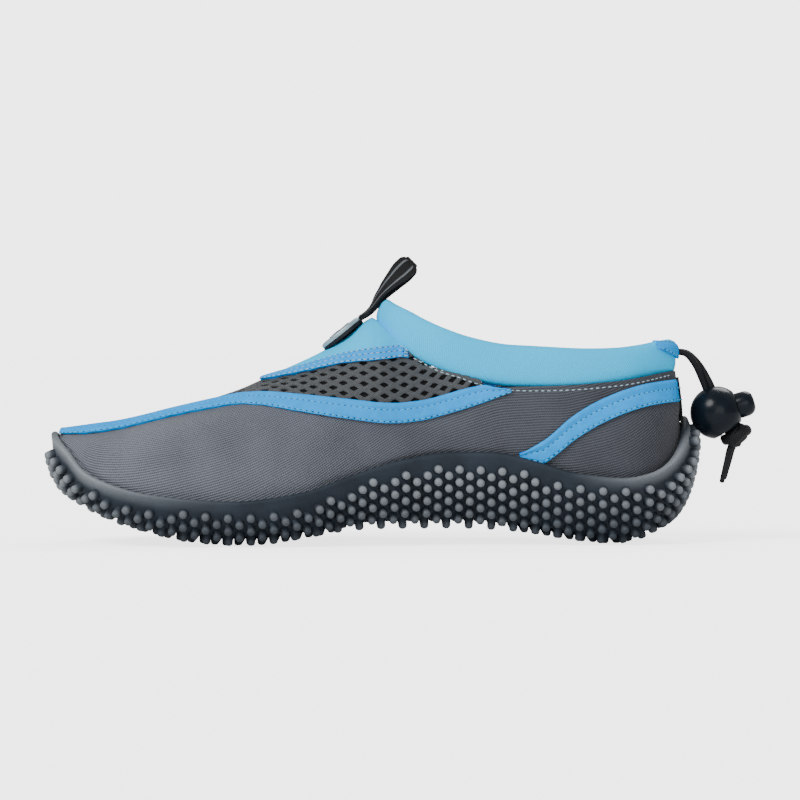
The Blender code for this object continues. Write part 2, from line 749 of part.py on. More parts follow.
def slot(name, centre, axis, across, radius, stretch, length):
    """A long round-ended cutter, stretched across its axis."""
    bm = bmesh.new()
    rings = []
    across = Vector(across).normalized()
    axis = Vector(axis).normalized()
    third = axis.cross(across)
    for end in (-0.5, 0.5):
        ring = []
        for k in range(12):
            a = 2 * math.pi * k / 12
            shift = math.copysign(stretch / 2, math.cos(a)) if abs(math.cos(a)) > 1e-6 else 0
            at = Vector(centre) + axis * length * end
            at += across * (radius * math.cos(a) + shift) + third * radius * math.sin(a)
            ring.append(bm.verts.new(at))
        rings.append(ring)
    skin(bm, [rings[0] + rings[0][:1], rings[1] + rings[1][:1]])
    bm.faces.new(rings[0])
    bm.faces.new(rings[1])
    return finish(name, bm, "black")


def cut(obj, cutter):
    """Cuts a helper out of an object."""
    cutter.hide_render = True
    cutter.display_type = "WIRE"
    modifier = obj.modifiers.new("cut", "BOOLEAN")
    modifier.operation = "DIFFERENCE"
    modifier.object = cutter


def make_lock():
    """Round cord lock: hollow barrel, sprung plunger and spring."""
    axis, cross = lock_axis(), lock_cross()
    centre = Vector(LOCK_CENTRE)
    bm = bmesh.new()
    bmesh.ops.create_uvsphere(bm, u_segments=20, v_segments=14, radius=LOCK_RADIUS)
    placed(bm, centre, axis)
    facet = Vector((math.sin(math.radians(KNOT_LEAN)), 0, -math.cos(math.radians(KNOT_LEAN))))
    plane = centre + facet * 8.1
    geometry = bm.verts[:] + bm.edges[:] + bm.faces[:]
    bmesh.ops.bisect_plane(bm, geom=geometry, plane_co=plane, plane_no=facet, clear_outer=True)
    bmesh.ops.holes_fill(bm, edges=[edge for edge in bm.edges if edge.is_boundary])
    barrel = finish("lock_barrel", bm, "black")
    bore_start = -8.2
    bore_length = 26
    cut(barrel, cylinder("bore_cutter", centre + axis * (bore_start + bore_length / 2), axis,
                         PLUNGER_BORE, bore_length, 20))
    cut(barrel, slot("channel_cutter", centre, cross, axis, 1.85, 3.3, 30))
    plunger_start = -3.8
    length = PLUNGER_REACH - plunger_start
    plunger = cylinder("lock_plunger", centre + axis * (plunger_start + length / 2), axis,
                       PLUNGER_RADIUS, length, 20)
    bevel = plunger.modifiers.new("round", "BEVEL")
    bevel.width = 0.9 * MM
    bevel.segments = 2
    bevel.angle_limit = math.radians(60)
    cut(plunger, slot("plunger_cutter", centre + axis * 1.2, cross, axis, 1.7, 5.6, 14))
    spring = []
    turns, wire, reach, steps = 3, 0.25, 3.3, 12
    room = plunger_start - bore_start - 2 * (wire + 0.3)
    for i in range(turns * steps + 1):
        a = 2 * math.pi * i / steps
        along_axis = bore_start + wire + 0.3 + room * i / (turns * steps)
        side = Vector((0, 1, 0)) * math.cos(a) + cross * math.sin(a)
        spring.append(centre + axis * along_axis + side * reach)
    tube("lock_spring", spring, wire, "steel", 1)


def make_knot():
    """Plain outer shape of the overhand knot under the lock."""
    bm = bmesh.new()
    bmesh.ops.create_icosphere(bm, subdivisions=2, radius=1)
    bmesh.ops.scale(bm, verts=bm.verts, vec=KNOT_RADII)
    turn = Matrix.Rotation(math.radians(-KNOT_LEAN), 4, "Y")
    bmesh.ops.transform(bm, matrix=Matrix.Translation(Vector(KNOT_CENTRE)) @ turn, verts=bm.verts)
    return finish("cord_knot", bm, "black")


# ---- pull loop and badge ----

LOOP_Y = -0.9
LOOP_OUTLINE = ((-0.2, 91.4), (2.4, 94.2), (5.6, 98.4), (8.8, 103.4), (12.0, 107.4), (14.6, 107.6),
                (15.4, 104.6), (14.0, 101.4), (10.6, 98.4), (7.4, 96.0), (4.6, 93.8), (1.6, 91.6))
LOOP_THICK = 1.1
LOOP_HALF = 2.6
BADGE_START = (-18.6, 73.9)
BADGE_END = (-5.0, 84.6)


def ribbon(name, points, thick, half, y, finish_name):
    """A webbing strip standing on edge, following an outline in the XZ plane."""
    top, bottom = [], []
    path = smoothed([Vector((x, 0, z)) for x, z in points], 2)
    for i, at in enumerate(path):
        tangent = (path[min(i + 1, len(path) - 1)] - path[max(i - 1, 0)]).normalized()
        normal = Vector((-tangent.z, 0, tangent.x)) * thick / 2
        edges = [Vector((0, y + k, 0)) for k in (-half, half)]
        top.append([at + normal + edge for edge in edges])
        bottom.append([at - normal + edge for edge in edges])
    return slab(name, top, bottom, finish_name)


def make_pull_loop():
    ribbon("pull_loop", LOOP_OUTLINE, LOOP_THICK, LOOP_HALF, LOOP_Y, "black")
    base = ((-4.6, 87.0), (-3.0, 88.3), (-1.1, 90.3))
    ribbon("pull_loop_base", base, 1.1, 3.2, LOOP_Y, "black")


def badge_layer(name, scale, low, high, finish_name):
    """An oval plate lying on the tongue's ridge."""
    start, end = Vector((BADGE_START[0], 0, BADGE_START[1])), Vector((BADGE_END[0], 0, BADGE_END[1]))
    middle = (start + end) / 2
    long_axis = (end - start).normalized()
    up = Vector((-long_axis.z, 0, long_axis.x))
    half_length = (end - start).length / 2 * scale
    half_width = 6.6 * scale
    bm = bmesh.new()
    rings = []
    for height in (low, high):
        ring = []
        for k in range(20):
            a = 2 * math.pi * k / 20
            across = half_width * math.sin(a)
            crown = -0.016 * across * across
            at = middle + long_axis * half_length * math.cos(a) + up * (height + crown)
            ring.append(bm.verts.new(at + Vector((0, across - 1.6, 0))))
        rings.append(ring)
    skin(bm, [rings[0] + rings[0][:1], rings[1] + rings[1][:1]])
    for ring, height in zip(rings, (low, high)):
        hub = bm.verts.new(middle + up * height + Vector((0, -1.6, 0)))
        for k in range(20):
            bm.faces.new((ring[k], ring[(k + 1) % 20], hub))
    return finish(name, bm, finish_name)


def make_badge():
    badge_layer("badge_backing", 1.0, 0.3, 1.0, "black")
    badge_layer("badge_plate", 0.93, 1.3, 2.6, "silver")
    badge_layer("badge_emblem", 0.6, 2.9, 3.5, "silver")


def main():
    for obj in list(bpy.data.objects):
        bpy.data.objects.remove(obj, do_unlink=True)
    make_outsole()
    fabric = GAP + NEOPRENE + 0.8
    deck_layer("lasting_board", 0.4, 1.6, fabric, "board")
    deck_layer("footbed", 2.0, 5.0, fabric, "footbed")
    make_quarter("quarter_medial", -1)
    make_quarter("quarter_lateral", 1)
    make_vamp()
    make_tongue()
    make_bands("medial", -1)
    make_bands("lateral", 1)
    make_lining()
    make_heel_tape()
    make_collar()
    make_cords()
    make_end_patch()
    make_lock()
    make_knot()
    make_pull_loop()
    make_badge()


main()
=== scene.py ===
"""Finished surfaces of a slip-on neoprene water shoe with a studded rubber sole.

The toe points to -X, the heel to +X, the inner side of the foot to -Y and +Z is up. Sizes are in
millimetres, and a mesh is made in metres.
"""

import logging
import math
from collections.abc import Callable, Iterator
from contextlib import contextmanager
from dataclasses import dataclass, field
from enum import Enum

import bmesh
import bpy
import numpy as np
from mathutils import Matrix, Vector


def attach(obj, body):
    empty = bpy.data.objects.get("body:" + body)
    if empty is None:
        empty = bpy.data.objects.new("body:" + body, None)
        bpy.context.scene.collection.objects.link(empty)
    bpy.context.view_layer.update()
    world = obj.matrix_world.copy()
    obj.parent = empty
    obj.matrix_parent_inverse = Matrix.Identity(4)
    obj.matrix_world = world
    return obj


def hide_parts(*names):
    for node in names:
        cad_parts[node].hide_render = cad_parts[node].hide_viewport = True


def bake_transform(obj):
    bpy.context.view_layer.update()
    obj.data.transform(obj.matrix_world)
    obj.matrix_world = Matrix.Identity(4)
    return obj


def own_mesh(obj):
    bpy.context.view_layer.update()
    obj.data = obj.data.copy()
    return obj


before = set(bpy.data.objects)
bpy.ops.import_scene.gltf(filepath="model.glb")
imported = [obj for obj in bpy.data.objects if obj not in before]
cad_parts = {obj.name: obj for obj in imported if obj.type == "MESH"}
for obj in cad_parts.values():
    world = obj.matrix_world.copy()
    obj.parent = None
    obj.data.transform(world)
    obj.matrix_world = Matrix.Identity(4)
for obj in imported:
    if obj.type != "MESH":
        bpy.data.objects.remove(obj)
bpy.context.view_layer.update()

MM = 0.001
WAVE_SCALE = math.tau / 20
KNOT_LEAN = 33.0
LOG = logging.getLogger("water_shoe")
Points = tuple[tuple[float, ...], ...]
Piece = bpy.types.Object
Socket = bpy.types.NodeSocket


class Side(Enum):
    """The two sides of the foot."""

    MEDIAL = -1
    LATERAL = 1

    @property
    def label(self) -> str:
        """Name of the side, as piece names hold it."""
        return self.name.lower()


class Body(Enum):
    """The bodies that the pieces ride on."""

    SHOE = "shoe"
    DRAWCORD = "drawcord"
    LOCK = "lock"
    PLUNGER = "plunger"
    LOOP = "pull_loop"


# ---------------------------------------------------------------- curves and the last


@dataclass(frozen=True)
class Curve:
    """A smooth curve through (x, value) points that never overshoots them."""

    points: Points

    def __call__(self, x: np.ndarray | float) -> np.ndarray:
        """Values of the curve.

        Args:
            x: Where to read it. Beyond the ends it stays level.

        Returns:
            The value at each x.
        """
        xs, ys = np.array(self.points, float).T
        x = np.clip(x, xs[0], xs[-1])
        k = np.clip(np.searchsorted(xs, x, side="right") - 1, 0, len(xs) - 2)
        secant = np.diff(ys) / np.diff(xs)
        product = secant[:-1] * secant[1:]
        total = secant[:-1] + secant[1:]
        inner = np.where(product > 0, 2 * product / np.where(product > 0, total, 1), 0)
        slope = np.concatenate([secant[:1], inner, secant[-1:]])
        width = xs[k + 1] - xs[k]
        t = (x - xs[k]) / width
        bend = (1 - t) * slope[k] - t * slope[k + 1]
        return ys[k] + (ys[k + 1] - ys[k]) * t * t * (3 - 2 * t) + width * t * (1 - t) * bend


def unit(v: np.ndarray) -> np.ndarray:
    """Vectors made one long."""
    return v / np.maximum(np.linalg.norm(v, axis=-1, keepdims=True), 1e-9)


def run_along(path: np.ndarray) -> np.ndarray:
    """Distance along a path from its start to each of its points."""
    return np.concatenate([[0], np.cumsum(np.linalg.norm(np.diff(path, axis=0), axis=1))])


def over_ridge(medial: np.ndarray, lateral: np.ndarray) -> np.ndarray:
    """One row of points, up the medial half to the ridge and down the lateral half."""
    return np.vstack([medial[:-1], [(medial[-1] + lateral[-1]) / 2], lateral[-2::-1]])


def smoothed(points: Points | np.ndarray, per_span: int) -> np.ndarray:
    """Points along the smooth curve through some points.

    Args:
        points: The points to pass through.
        per_span: How many points to make between each pair.

    Returns:
        The route, one row per point.
    """
    p = np.array(points, float)
    ends = np.vstack([p[:1], p, p[-1:]])
    t = np.linspace(0, 1, per_span, endpoint=False)[:, None]
    made = []
    for before, start, end, after in zip(ends, ends[1:], ends[2:], ends[3:]):
        a = 2 * start + (end - before) * t
        b = (2 * before - 5 * start + 4 * end - after) * t * t
        c = (3 * start - before - 3 * end + after) * t**3
        made.append((a + b + c) / 2)
    return np.vstack(made + [p[-1:]])


@dataclass
class Last:
    """The foot form that the sole and every upper piece are laid over."""

    toe_x: float = -124.0
    heel_x: float = 124.0
    half_width: Curve = Curve((
        (0, 0), (0.1, 19), (0.2, 34.5), (0.3, 43), (0.4, 45), (0.5, 39.5), (0.6, 34), (0.7, 33.5),
        (0.8, 31), (0.9, 20), (1, 0),
    ))
    centre: Curve = Curve((
        (0, -7), (0.1, -6.5), (0.2, -5), (0.3, -1.7), (0.4, 0.3), (0.5, 3), (0.6, 3.5), (0.7, 2), (0.8, 1),
        (0.9, 0.5), (1, 0.5),
    ))
    sole_line: Curve = Curve((
        (-112, 19), (-104, 14.8), (-95, 11), (-83.5, 7.8), (-72, 5), (-60, 3.7), (-51, 3.3), (-42, 3.6),
        (-31.8, 5.0), (-20, 7), (-9, 8.6), (3, 9.2), (26, 9.2), (37, 9), (48.6, 8.4), (60, 7.2),
        (71.6, 5.4), (83, 3.9), (92, 3.3), (99, 4.2), (106, 7), (111, 10),
    ))
    rim_line: Curve = Curve((
        (0, 39.8), (0.05, 38.8), (0.1, 35.5), (0.15, 27.7), (0.2, 23.1), (0.25, 19.8), (0.3, 17.9),
        (0.36, 16.7), (0.43, 19.9), (0.48, 26.4), (0.53, 32.3), (0.58, 35), (0.62, 34.9), (0.67, 31.1),
        (0.72, 26.7), (0.78, 25.1), (0.83, 27), (0.87, 30.5), (0.92, 37.5), (0.96, 44), (1, 48),
    ))
    flare: Curve = Curve((
        (0, 12), (0.15, 9), (0.3, 6.5), (0.5, 7), (0.6, 8), (0.75, 8), (0.9, 12), (1, 14),
    ))
    rim_lean: Curve = Curve(((0.85, 0), (1, 2.6)))
    wall_thick: float = 2.6
    gap: float = 0.35
    floor: float = 3.0
    upper_toe_x: float = -120.4
    upper_heel_x: float = 115.8
    top_line: Curve = Curve((
        (-120.4, 42.4), (-116, 43.6), (-109, 45), (-100.7, 45.9), (-89, 48.1), (-77.7, 51.1), (-66, 54.1),
        (-54.8, 57.6), (-49, 59.8), (-43.3, 62.4), (-31.8, 67.4), (-20.3, 72.8), (-10, 79), (-2.7, 85),
        (5, 88.5), (12, 89.5), (20, 88), (30, 82.5), (45, 77), (60, 76), (85, 75), (105, 76.5), (115.8, 77),
    ))
    top_half: Curve = Curve((
        (8, 0), (20, 10), (30, 20), (45, 24), (60, 25), (85, 24), (100, 19.5), (110, 11.5), (114, 6),
        (115.8, 0),
    ))
    top_centre: Curve = Curve((
        (0, -7), (0.2, -6.5), (0.35, -4), (0.5, -1), (0.6, 1), (0.7, 1.5), (0.85, 1), (1, 0.5),
    ))
    swell: Curve = Curve(((0, 0), (0.2, 1), (0.4, 2.2), (0.55, 3), (0.7, 4), (0.9, 2), (1, 0)))
    dome: Curve = Curve(((2, 1), (28, 0)))
    stations: int = 361
    tables: dict = field(default_factory=dict)

    def __post_init__(self) -> None:
        """Works out the table of places, directions and lengths that the pieces are laid from."""
        self.s = np.linspace(0.002, 0.998, self.stations)
        self.t = np.concatenate([np.linspace(-1, 0, 13)[:-1], np.linspace(0, 1, 91)])
        for side in Side:
            place = self.section(self.s[:, None], side.value, self.t[None, :])
            along = np.gradient(place, axis=0)
            up = np.gradient(place, axis=1)
            normal = unit(np.cross(along, up) * -side.value)
            step = np.linalg.norm(np.diff(place, axis=1), axis=2)
            length = np.concatenate([np.zeros((len(self.s), 1)), np.cumsum(step, axis=1)], axis=1)
            length -= length[:, 12:13]
            self.tables[side] = (place, normal, length)

    def along(self, start: float, end: float, s: np.ndarray) -> np.ndarray:
        """Place along X of a station, closer together at the toe and the heel."""
        return start + (end - start) * (1 - np.cos(np.pi * s)) / 2

    def top_x(self, s: np.ndarray) -> np.ndarray:
        """Place along X of each station's top line point."""
        return self.along(self.upper_toe_x, self.upper_heel_x, s)

    def station(self, x: float) -> float:
        """Station whose top line point is at x."""
        share = (x - self.upper_toe_x) / (self.upper_heel_x - self.upper_toe_x)
        return math.acos(1 - 2 * share) / math.pi

    def plan(self, s: np.ndarray, side: int, inset: np.ndarray | float) -> np.ndarray:
        """Points of the rim's plan, moved inwards along its normal.

        Args:
            s: Stations from 0 at the toe tip to 1 at the heel's back.
            side: -1 for the inner side of the foot, 1 for the outer side.
            inset: How far inwards.

        Returns:
            X and Y of each point.
        """
        s = np.clip(s, 0, 1)

        def outline(at: np.ndarray) -> np.ndarray:
            y = self.centre(at) + side * self.half_width(at)
            return np.stack([self.along(self.toe_x, self.heel_x, at), y], axis=-1)

        ahead = outline(np.minimum(s + 0.002, 1)) - outline(np.maximum(s - 0.002, 0))
        ahead = unit(ahead)
        normal = side * np.stack([-ahead[..., 1], ahead[..., 0]], axis=-1)
        normal = np.where((s <= 0)[..., None], np.array([-1.0, 0]), normal)
        normal = np.where((s >= 1)[..., None], np.array([1.0, 0]), normal)
        return outline(s) - normal * np.asarray(inset)[..., None]

    def wall_heights(self, s: np.ndarray, side: int) -> tuple[np.ndarray, np.ndarray]:
        """Heights of the sole wall's bottom edge and of its rim."""
        edge = self.plan(s, side, self.flare(s))
        return self.sole_line(edge[..., 0]), self.rim_line(s)

    def wall(self, s: np.ndarray, side: int, angle: np.ndarray, inset: float = 0) -> np.ndarray:
        """Points of the sole's wall, a quarter ellipse from the bottom edge (0) to the rim (pi/2)."""
        s, angle = np.broadcast_arrays(np.asarray(s, float), np.asarray(angle, float))
        low, high = self.wall_heights(s, side)
        rise = 1 - np.cos(angle)
        lean = self.rim_lean(s) * np.maximum(0, (rise - 0.7) / 0.3) ** 2
        at = self.plan(s, side, self.flare(s) * (1 - np.sin(angle)) + lean + inset)
        return np.stack([at[..., 0], at[..., 1], low + (high - low) * rise], axis=-1)

    def floor_angle(self, s: np.ndarray, side: int, height: float) -> np.ndarray:
        """Angle at which the wall is a height over its bottom edge."""
        low, high = self.wall_heights(s, side)
        return np.arccos(1 - height / (high - low))

    def section(self, s: np.ndarray, side: int, t: np.ndarray) -> np.ndarray:
        """Points of the upper's outer face.

        Args:
            s: Stations.
            side: -1 or 1.
            t: -1 at the sole's floor, 0 at its rim and 1 at the top line.

        Returns:
            X, Y and Z of each point.
        """
        s, t = np.broadcast_arrays(np.asarray(s, float), np.asarray(t, float))
        inset = self.wall_thick + self.gap
        start = self.floor_angle(s, side, self.floor + 0.6)
        tucked = self.wall(s, side, start + (np.pi / 2 - start) * np.minimum(1 + t, 1), inset)
        foot = self.wall(s, side, np.pi / 2, inset)
        x = self.top_x(s)
        y = self.top_centre(s) + side * self.top_half(x)
        top = np.stack([x, y, self.top_line(x)], axis=-1)
        rise = top[..., 2] - foot[..., 2]
        dome = self.dome(x)
        zero = np.zeros_like(x)
        low = foot + np.stack([zero, side * self.swell(s), (0.4 + 0.15 * dome) * rise], axis=-1)
        over = np.stack([zero, 0.55 * (foot[..., 1] - top[..., 1]), -0.02 * rise], axis=-1)
        beside = np.stack([zero, zero + side * 2.5, -0.36 * rise], axis=-1)
        high = top + over * dome[..., None] + beside * (1 - dome[..., None])
        a = 1 - t[..., None]
        b = t[..., None]
        free = a**3 * foot + 3 * a * a * b * low + 3 * a * b * b * high + b**3 * top
        return np.where(b <= 0, tucked, free)

    def at(self, side: Side, s: np.ndarray, t: np.ndarray, lift: np.ndarray | float = 0) -> np.ndarray:
        """Points over the upper's outer face.

        Args:
            side: Side of the foot.
            s: Stations.
            t: Places up each station's section.
            lift: Height over the face, along its normal.

        Returns:
            X, Y and Z of each point.
        """
        place, normal, _ = self.tables[side]
        s, t = np.broadcast_arrays(np.asarray(s, float), np.asarray(t, float))
        i = np.clip(np.interp(s, self.s, np.arange(len(self.s))), 0, len(self.s) - 1.001)
        j = np.clip(np.interp(t, self.t, np.arange(len(self.t))), 0, len(self.t) - 1.001)
        i0, j0 = i.astype(int), j.astype(int)
        u, v = (i - i0)[..., None], (j - j0)[..., None]

        def read(grid: np.ndarray) -> np.ndarray:
            low = grid[i0, j0] * (1 - u) + grid[i0 + 1, j0] * u
            return low * (1 - v) + (grid[i0, j0 + 1] * (1 - u) + grid[i0 + 1, j0 + 1] * u) * v

        return read(place) + unit(read(normal)) * np.asarray(lift)[..., None]

    def row(self, side: Side, s: float) -> tuple[np.ndarray, np.ndarray]:
        """Points and lengths up one station's section."""
        place, _, length = self.tables[side]
        i = min(np.interp(s, self.s, np.arange(len(self.s))), len(self.s) - 1.001)
        k = int(i)
        f = i - k
        return place[k] * (1 - f) + place[k + 1] * f, length[k] * (1 - f) + length[k + 1] * f

    def level(self, side: Side, s: np.ndarray, heights: Curve) -> np.ndarray:
        """The t at which each station crosses a line of heights along X, or 1 above it."""
        made = []
        for station in np.atleast_1d(s):
            points, _ = self.row(side, station)
            above = points[:, 2] - heights(points[:, 0])
            over = np.nonzero((above[1:] >= 0) & (above[:-1] < 0))[0]
            if len(over) == 0:
                made.append(1.0 if above[-1] < 0 else 0.0)
                continue
            k = over[-1]
            share = -above[k] / (above[k + 1] - above[k])
            made.append(self.t[k] + share * (self.t[k + 1] - self.t[k]))
        return np.array(made)

    def walk(self, side: Side, s: np.ndarray, t: np.ndarray, distance: np.ndarray | float) -> np.ndarray:
        """The t a distance further up each station's section, or down it where negative."""
        made = []
        for station, start, far in np.broadcast(np.atleast_1d(s), t, distance):
            _, length = self.row(side, station)
            made.append(np.interp(np.interp(start, self.t, length) + far, length, self.t))
        return np.array(made)


@dataclass(frozen=True)
class Seams:
    """Lines on the side of the upper, as heights along X."""

    band_foot: Curve = Curve((
        (-121, 41.2), (-111.8, 41.6), (-104.5, 42.4), (-97, 43.6), (-87.4, 45.8), (-77.6, 48.2),
        (-63, 51.2), (-50, 53), (-44, 52.8), (-29, 50.7), (-10.7, 48), (7.7, 46.2), (18.4, 47.2),
        (28.3, 49.6), (39.1, 52.9), (52, 57.6), (62, 62), (72, 66), (116, 74),
    ))
    band_width: Curve = Curve(((-118, 4), (-105, 6.5), (-80, 8), (30, 7.6), (50, 5)))
    tongue_edge: Curve = Curve(((-44, 62.2), (-26, 66.6), (-10, 70.6), (8, 72.8), (13, 73.2)))
    collar: Curve = Curve((
        (-0.5, 85.9), (4.4, 80.8), (8.6, 76.7), (13.2, 72.9), (18.8, 69.7), (25.3, 66.4), (32.7, 64.1),
        (39.2, 61.8), (49.4, 59.4), (60, 59), (71.6, 59.2), (94.6, 61), (115.6, 64.9),
    ))
    heel_band: Curve = Curve((
        (50, 31), (56, 34.6), (60, 36.8), (66, 40.4), (75.8, 48.6), (85.6, 54.4), (95.3, 58.4), (105, 61),
        (116, 62.4),
    ))


# ---------------------------------------------------------------- bench tools


def read_points(mesh: bpy.types.Mesh) -> np.ndarray:
    """Places of a mesh's vertices, one row each."""
    co = np.empty(len(mesh.vertices) * 3)
    mesh.vertices.foreach_get("co", co)
    return co.reshape(-1, 3)


def write_points(mesh: bpy.types.Mesh, points: np.ndarray) -> None:
    """Moves a mesh's vertices to these places."""
    mesh.vertices.foreach_set("co", points.astype(np.float32).ravel())
    mesh.update()


def write_map(mesh: bpy.types.Mesh, flat: np.ndarray) -> None:
    """Gives each vertex of a mesh its place on the flat map."""
    layer = mesh.uv_layers[0] if mesh.uv_layers else mesh.uv_layers.new(name="UVMap")
    index = np.empty(len(mesh.loops), np.int32)
    mesh.loops.foreach_get("vertex_index", index)
    layer.data.foreach_set("uv", flat[index].astype(np.float32).ravel())


class Bench:
    """Modelling steps that every piece shares."""

    @staticmethod
    def clear() -> None:
        """Deselects everything, so that an operator acts on the new piece alone."""
        bpy.ops.object.select_all(action="DESELECT")

    @staticmethod
    def named(name: str) -> Piece:
        """Takes the active object as a new piece."""
        piece = bpy.context.active_object
        piece.name = name
        piece.data.name = name
        return piece

    @staticmethod
    def only(piece: Piece) -> None:
        """Selects one piece and makes it active."""
        Bench.clear()
        piece.select_set(True)
        bpy.context.view_layer.objects.active = piece

    @staticmethod
    def grid(name: str, rows: np.ndarray, uv: np.ndarray | None = None) -> Piece:
        """A grid primitive laid over rows of points.

        Args:
            name: Name of the piece.
            rows: Points in millimetres, by row, column and axis.
            uv: Flat place of each point in millimetres, or none to measure it from the rows.

        Returns:
            The piece.
        """
        rows = np.asarray(rows, float)
        count, width, _ = rows.shape
        Bench.clear()
        bpy.ops.mesh.primitive_grid_add(x_subdivisions=width - 1, y_subdivisions=count - 1, size=1)
        piece = Bench.named(name)
        write_points(piece.data, rows * MM)
        if uv is None:
            along = np.linalg.norm(np.diff(rows, axis=0), axis=2).mean(axis=1)
            across = np.linalg.norm(np.diff(rows, axis=1), axis=2).mean(axis=0)
            u = np.concatenate([[0], np.cumsum(along)])
            v = np.concatenate([[0], np.cumsum(across)])
            uv = np.stack(np.meshgrid(u, v, indexing="ij"), axis=-1)
        write_map(piece.data, np.asarray(uv, float).reshape(-1, 2))
        return piece

    @staticmethod
    def modify(piece: Piece, kind: str, **settings: object) -> None:
        """Adds a modifier with these settings and applies it."""
        Bench.only(piece)
        bpy.ops.object.modifier_add(type=kind)
        modifier = piece.modifiers[-1]
        for key, value in settings.items():
            setattr(modifier, key, value)
        bpy.ops.object.modifier_apply(modifier=modifier.name)

    @staticmethod
    def cut(piece: Piece, cutter: Piece) -> None:
        """Cuts one piece out of another and throws the cutter away."""
        Bench.modify(piece, "BOOLEAN", object=cutter, operation="DIFFERENCE")
        bpy.data.objects.remove(cutter, do_unlink=True)

    @staticmethod
    @contextmanager
    def editing(piece: Piece) -> Iterator[None]:
        """Opens a piece for editing with all of it selected, and closes it again."""
        Bench.only(piece)
        bpy.ops.object.mode_set(mode="EDIT")
        bpy.ops.mesh.select_all(action="SELECT")
        yield
        bpy.ops.object.mode_set(mode="OBJECT")

    @staticmethod
    def smooth(piece: Piece, degrees: float = 45) -> None:
        """Shades a piece smooth, with sharp edges past an angle."""
        Bench.only(piece)
        bpy.ops.object.shade_smooth_by_angle(angle=math.radians(degrees))

    @staticmethod
    def turned(name: str, profile: Points, sides: int) -> Piece:
        """A profile spun round Z.

        Args:
            name: Name of the piece.
            profile: Radius and height of each point, from the bottom up.
            sides: How many steps the spin has.

        Returns:
            A closed piece in millimetres.
        """
        Bench.clear()
        bpy.ops.mesh.primitive_plane_add(size=1)
        piece = Bench.named(name)
        bm = bmesh.new()
        verts = [bm.verts.new((radius, 0, height)) for radius, height in profile]
        for low, high in zip(verts, verts[1:]):
            bm.edges.new((low, high))
        bm.to_mesh(piece.data)
        bm.free()
        with Bench.editing(piece):
            bpy.ops.mesh.spin(steps=sides, angle=2 * math.pi, center=(0, 0, 0), axis=(0, 0, 1))
        with Bench.editing(piece):
            bpy.ops.mesh.remove_doubles(threshold=0.0005)
            bpy.ops.mesh.normals_make_consistent(inside=False)
        return piece

    @staticmethod
    def place(piece: Piece, turn: Matrix, scale: float = 1.0) -> None:
        """Moves a piece's mesh, with its object left at the origin."""
        piece.data.transform(turn @ Matrix.Scale(scale, 4))
        piece.data.update()

    @staticmethod
    def copies(name: str, pattern: Piece, frames: np.ndarray, marks: np.ndarray | None = None) -> Piece:
        """One piece made of many copies of a pattern.

        Args:
            name: Name of the piece.
            pattern: Model of one copy, in millimetres. It is removed afterwards.
            frames: One 4 by 4 matrix per copy, in millimetres.
            marks: How near the tip each vertex of the pattern is, kept as an attribute.

        Returns:
            The piece.
        """
        source = pattern.data
        co = read_points(source)
        points = np.einsum("nij,vj->nvi", frames[:, :3, :3], co) + frames[:, None, :3, 3]
        faces = [tuple(face.vertices) for face in source.polygons]
        every = [tuple(v + k * len(co) for v in face) for k in range(len(frames)) for face in faces]
        mesh = bpy.data.meshes.new(name)
        mesh.from_pydata((points.reshape(-1, 3) * MM).tolist(), [], every)
        mesh.update()
        piece = bpy.data.objects.new(name, mesh)
        bpy.context.scene.collection.objects.link(piece)
        if marks is not None:
            layer = mesh.attributes.new("tip", "FLOAT", "POINT")
            layer.data.foreach_set("value", np.tile(marks, len(frames)).astype(np.float32))
        bpy.data.objects.remove(pattern, do_unlink=True)
        return piece

    @staticmethod
    def frames(at: np.ndarray, forward: np.ndarray, up: np.ndarray) -> np.ndarray:
        """Matrices that put a pattern's X along forward and its Z along up at each point."""
        up = unit(up)
        forward = unit(forward - up * np.sum(forward * up, axis=1, keepdims=True))
        made = np.zeros((len(at), 4, 4))
        made[:, :3, 0] = forward
        made[:, :3, 1] = np.cross(up, forward)
        made[:, :3, 2] = up
        made[:, :3, 3] = at
        made[:, 3, 3] = 1
        return made

    @staticmethod
    def tube(name: str, path: np.ndarray, radius: np.ndarray | float, sides: int = 12,
             flat: float = 1.0, closed: bool = False) -> Piece:
        """A round tube along a path, with domed ends.

        Args:
            name: Name of the piece.
            path: Points in millimetres.
            radius: Radius, the same all along or one for each point.
            sides: Sides of the section.
            flat: Width of the section over its height.
            closed: Whether the path runs back into its start.

        Returns:
            The piece, with a flat map in millimetres.
        """
        path = np.asarray(path, float)
        radius = np.broadcast_to(np.asarray(radius, float), len(path)).copy()
        if not closed:
            caps = ((0.0, 0.05), (0.12, 0.55), (0.35, 0.85))
            head, tail = unit(path[1] - path[0]), unit(path[-1] - path[-2])
            front = [path[0] + head * radius[0] * (a - 0.35) for a, _ in caps]
            back = [path[-1] - tail * radius[-1] * (a - 0.35) for a, _ in caps[::-1]]
            size = [[radius[0] * b for _, b in caps], [radius[-1] * b for _, b in caps[::-1]]]
            path = np.vstack([front, path[1:-1], back])
            radius = np.concatenate([size[0], radius[1:-1], size[1]])
        else:
            path = np.vstack([path, path[:1]])
            radius = np.append(radius, radius[0])
        ahead = np.gradient(path, axis=0)
        if closed:
            ahead[0] = ahead[-1] = path[1] - path[-2]
        ahead = unit(ahead)
        across = np.cross(ahead[0], [0, 1, 0.01])
        made = []
        for direction in ahead:
            across = unit(across - direction * np.dot(across, direction))
            made.append(across.copy())
        across = np.array(made)
        up = np.cross(ahead, across)
        angle = np.linspace(0, 2 * np.pi, sides + 1)
        ring = np.cos(angle)[None, :, None] * across[:, None] * flat
        ring = ring + np.sin(angle)[None, :, None] * up[:, None]
        rows = path[:, None] + ring * radius[:, None, None]
        flat_map = np.meshgrid(run_along(path), angle * radius.max(), indexing="ij")
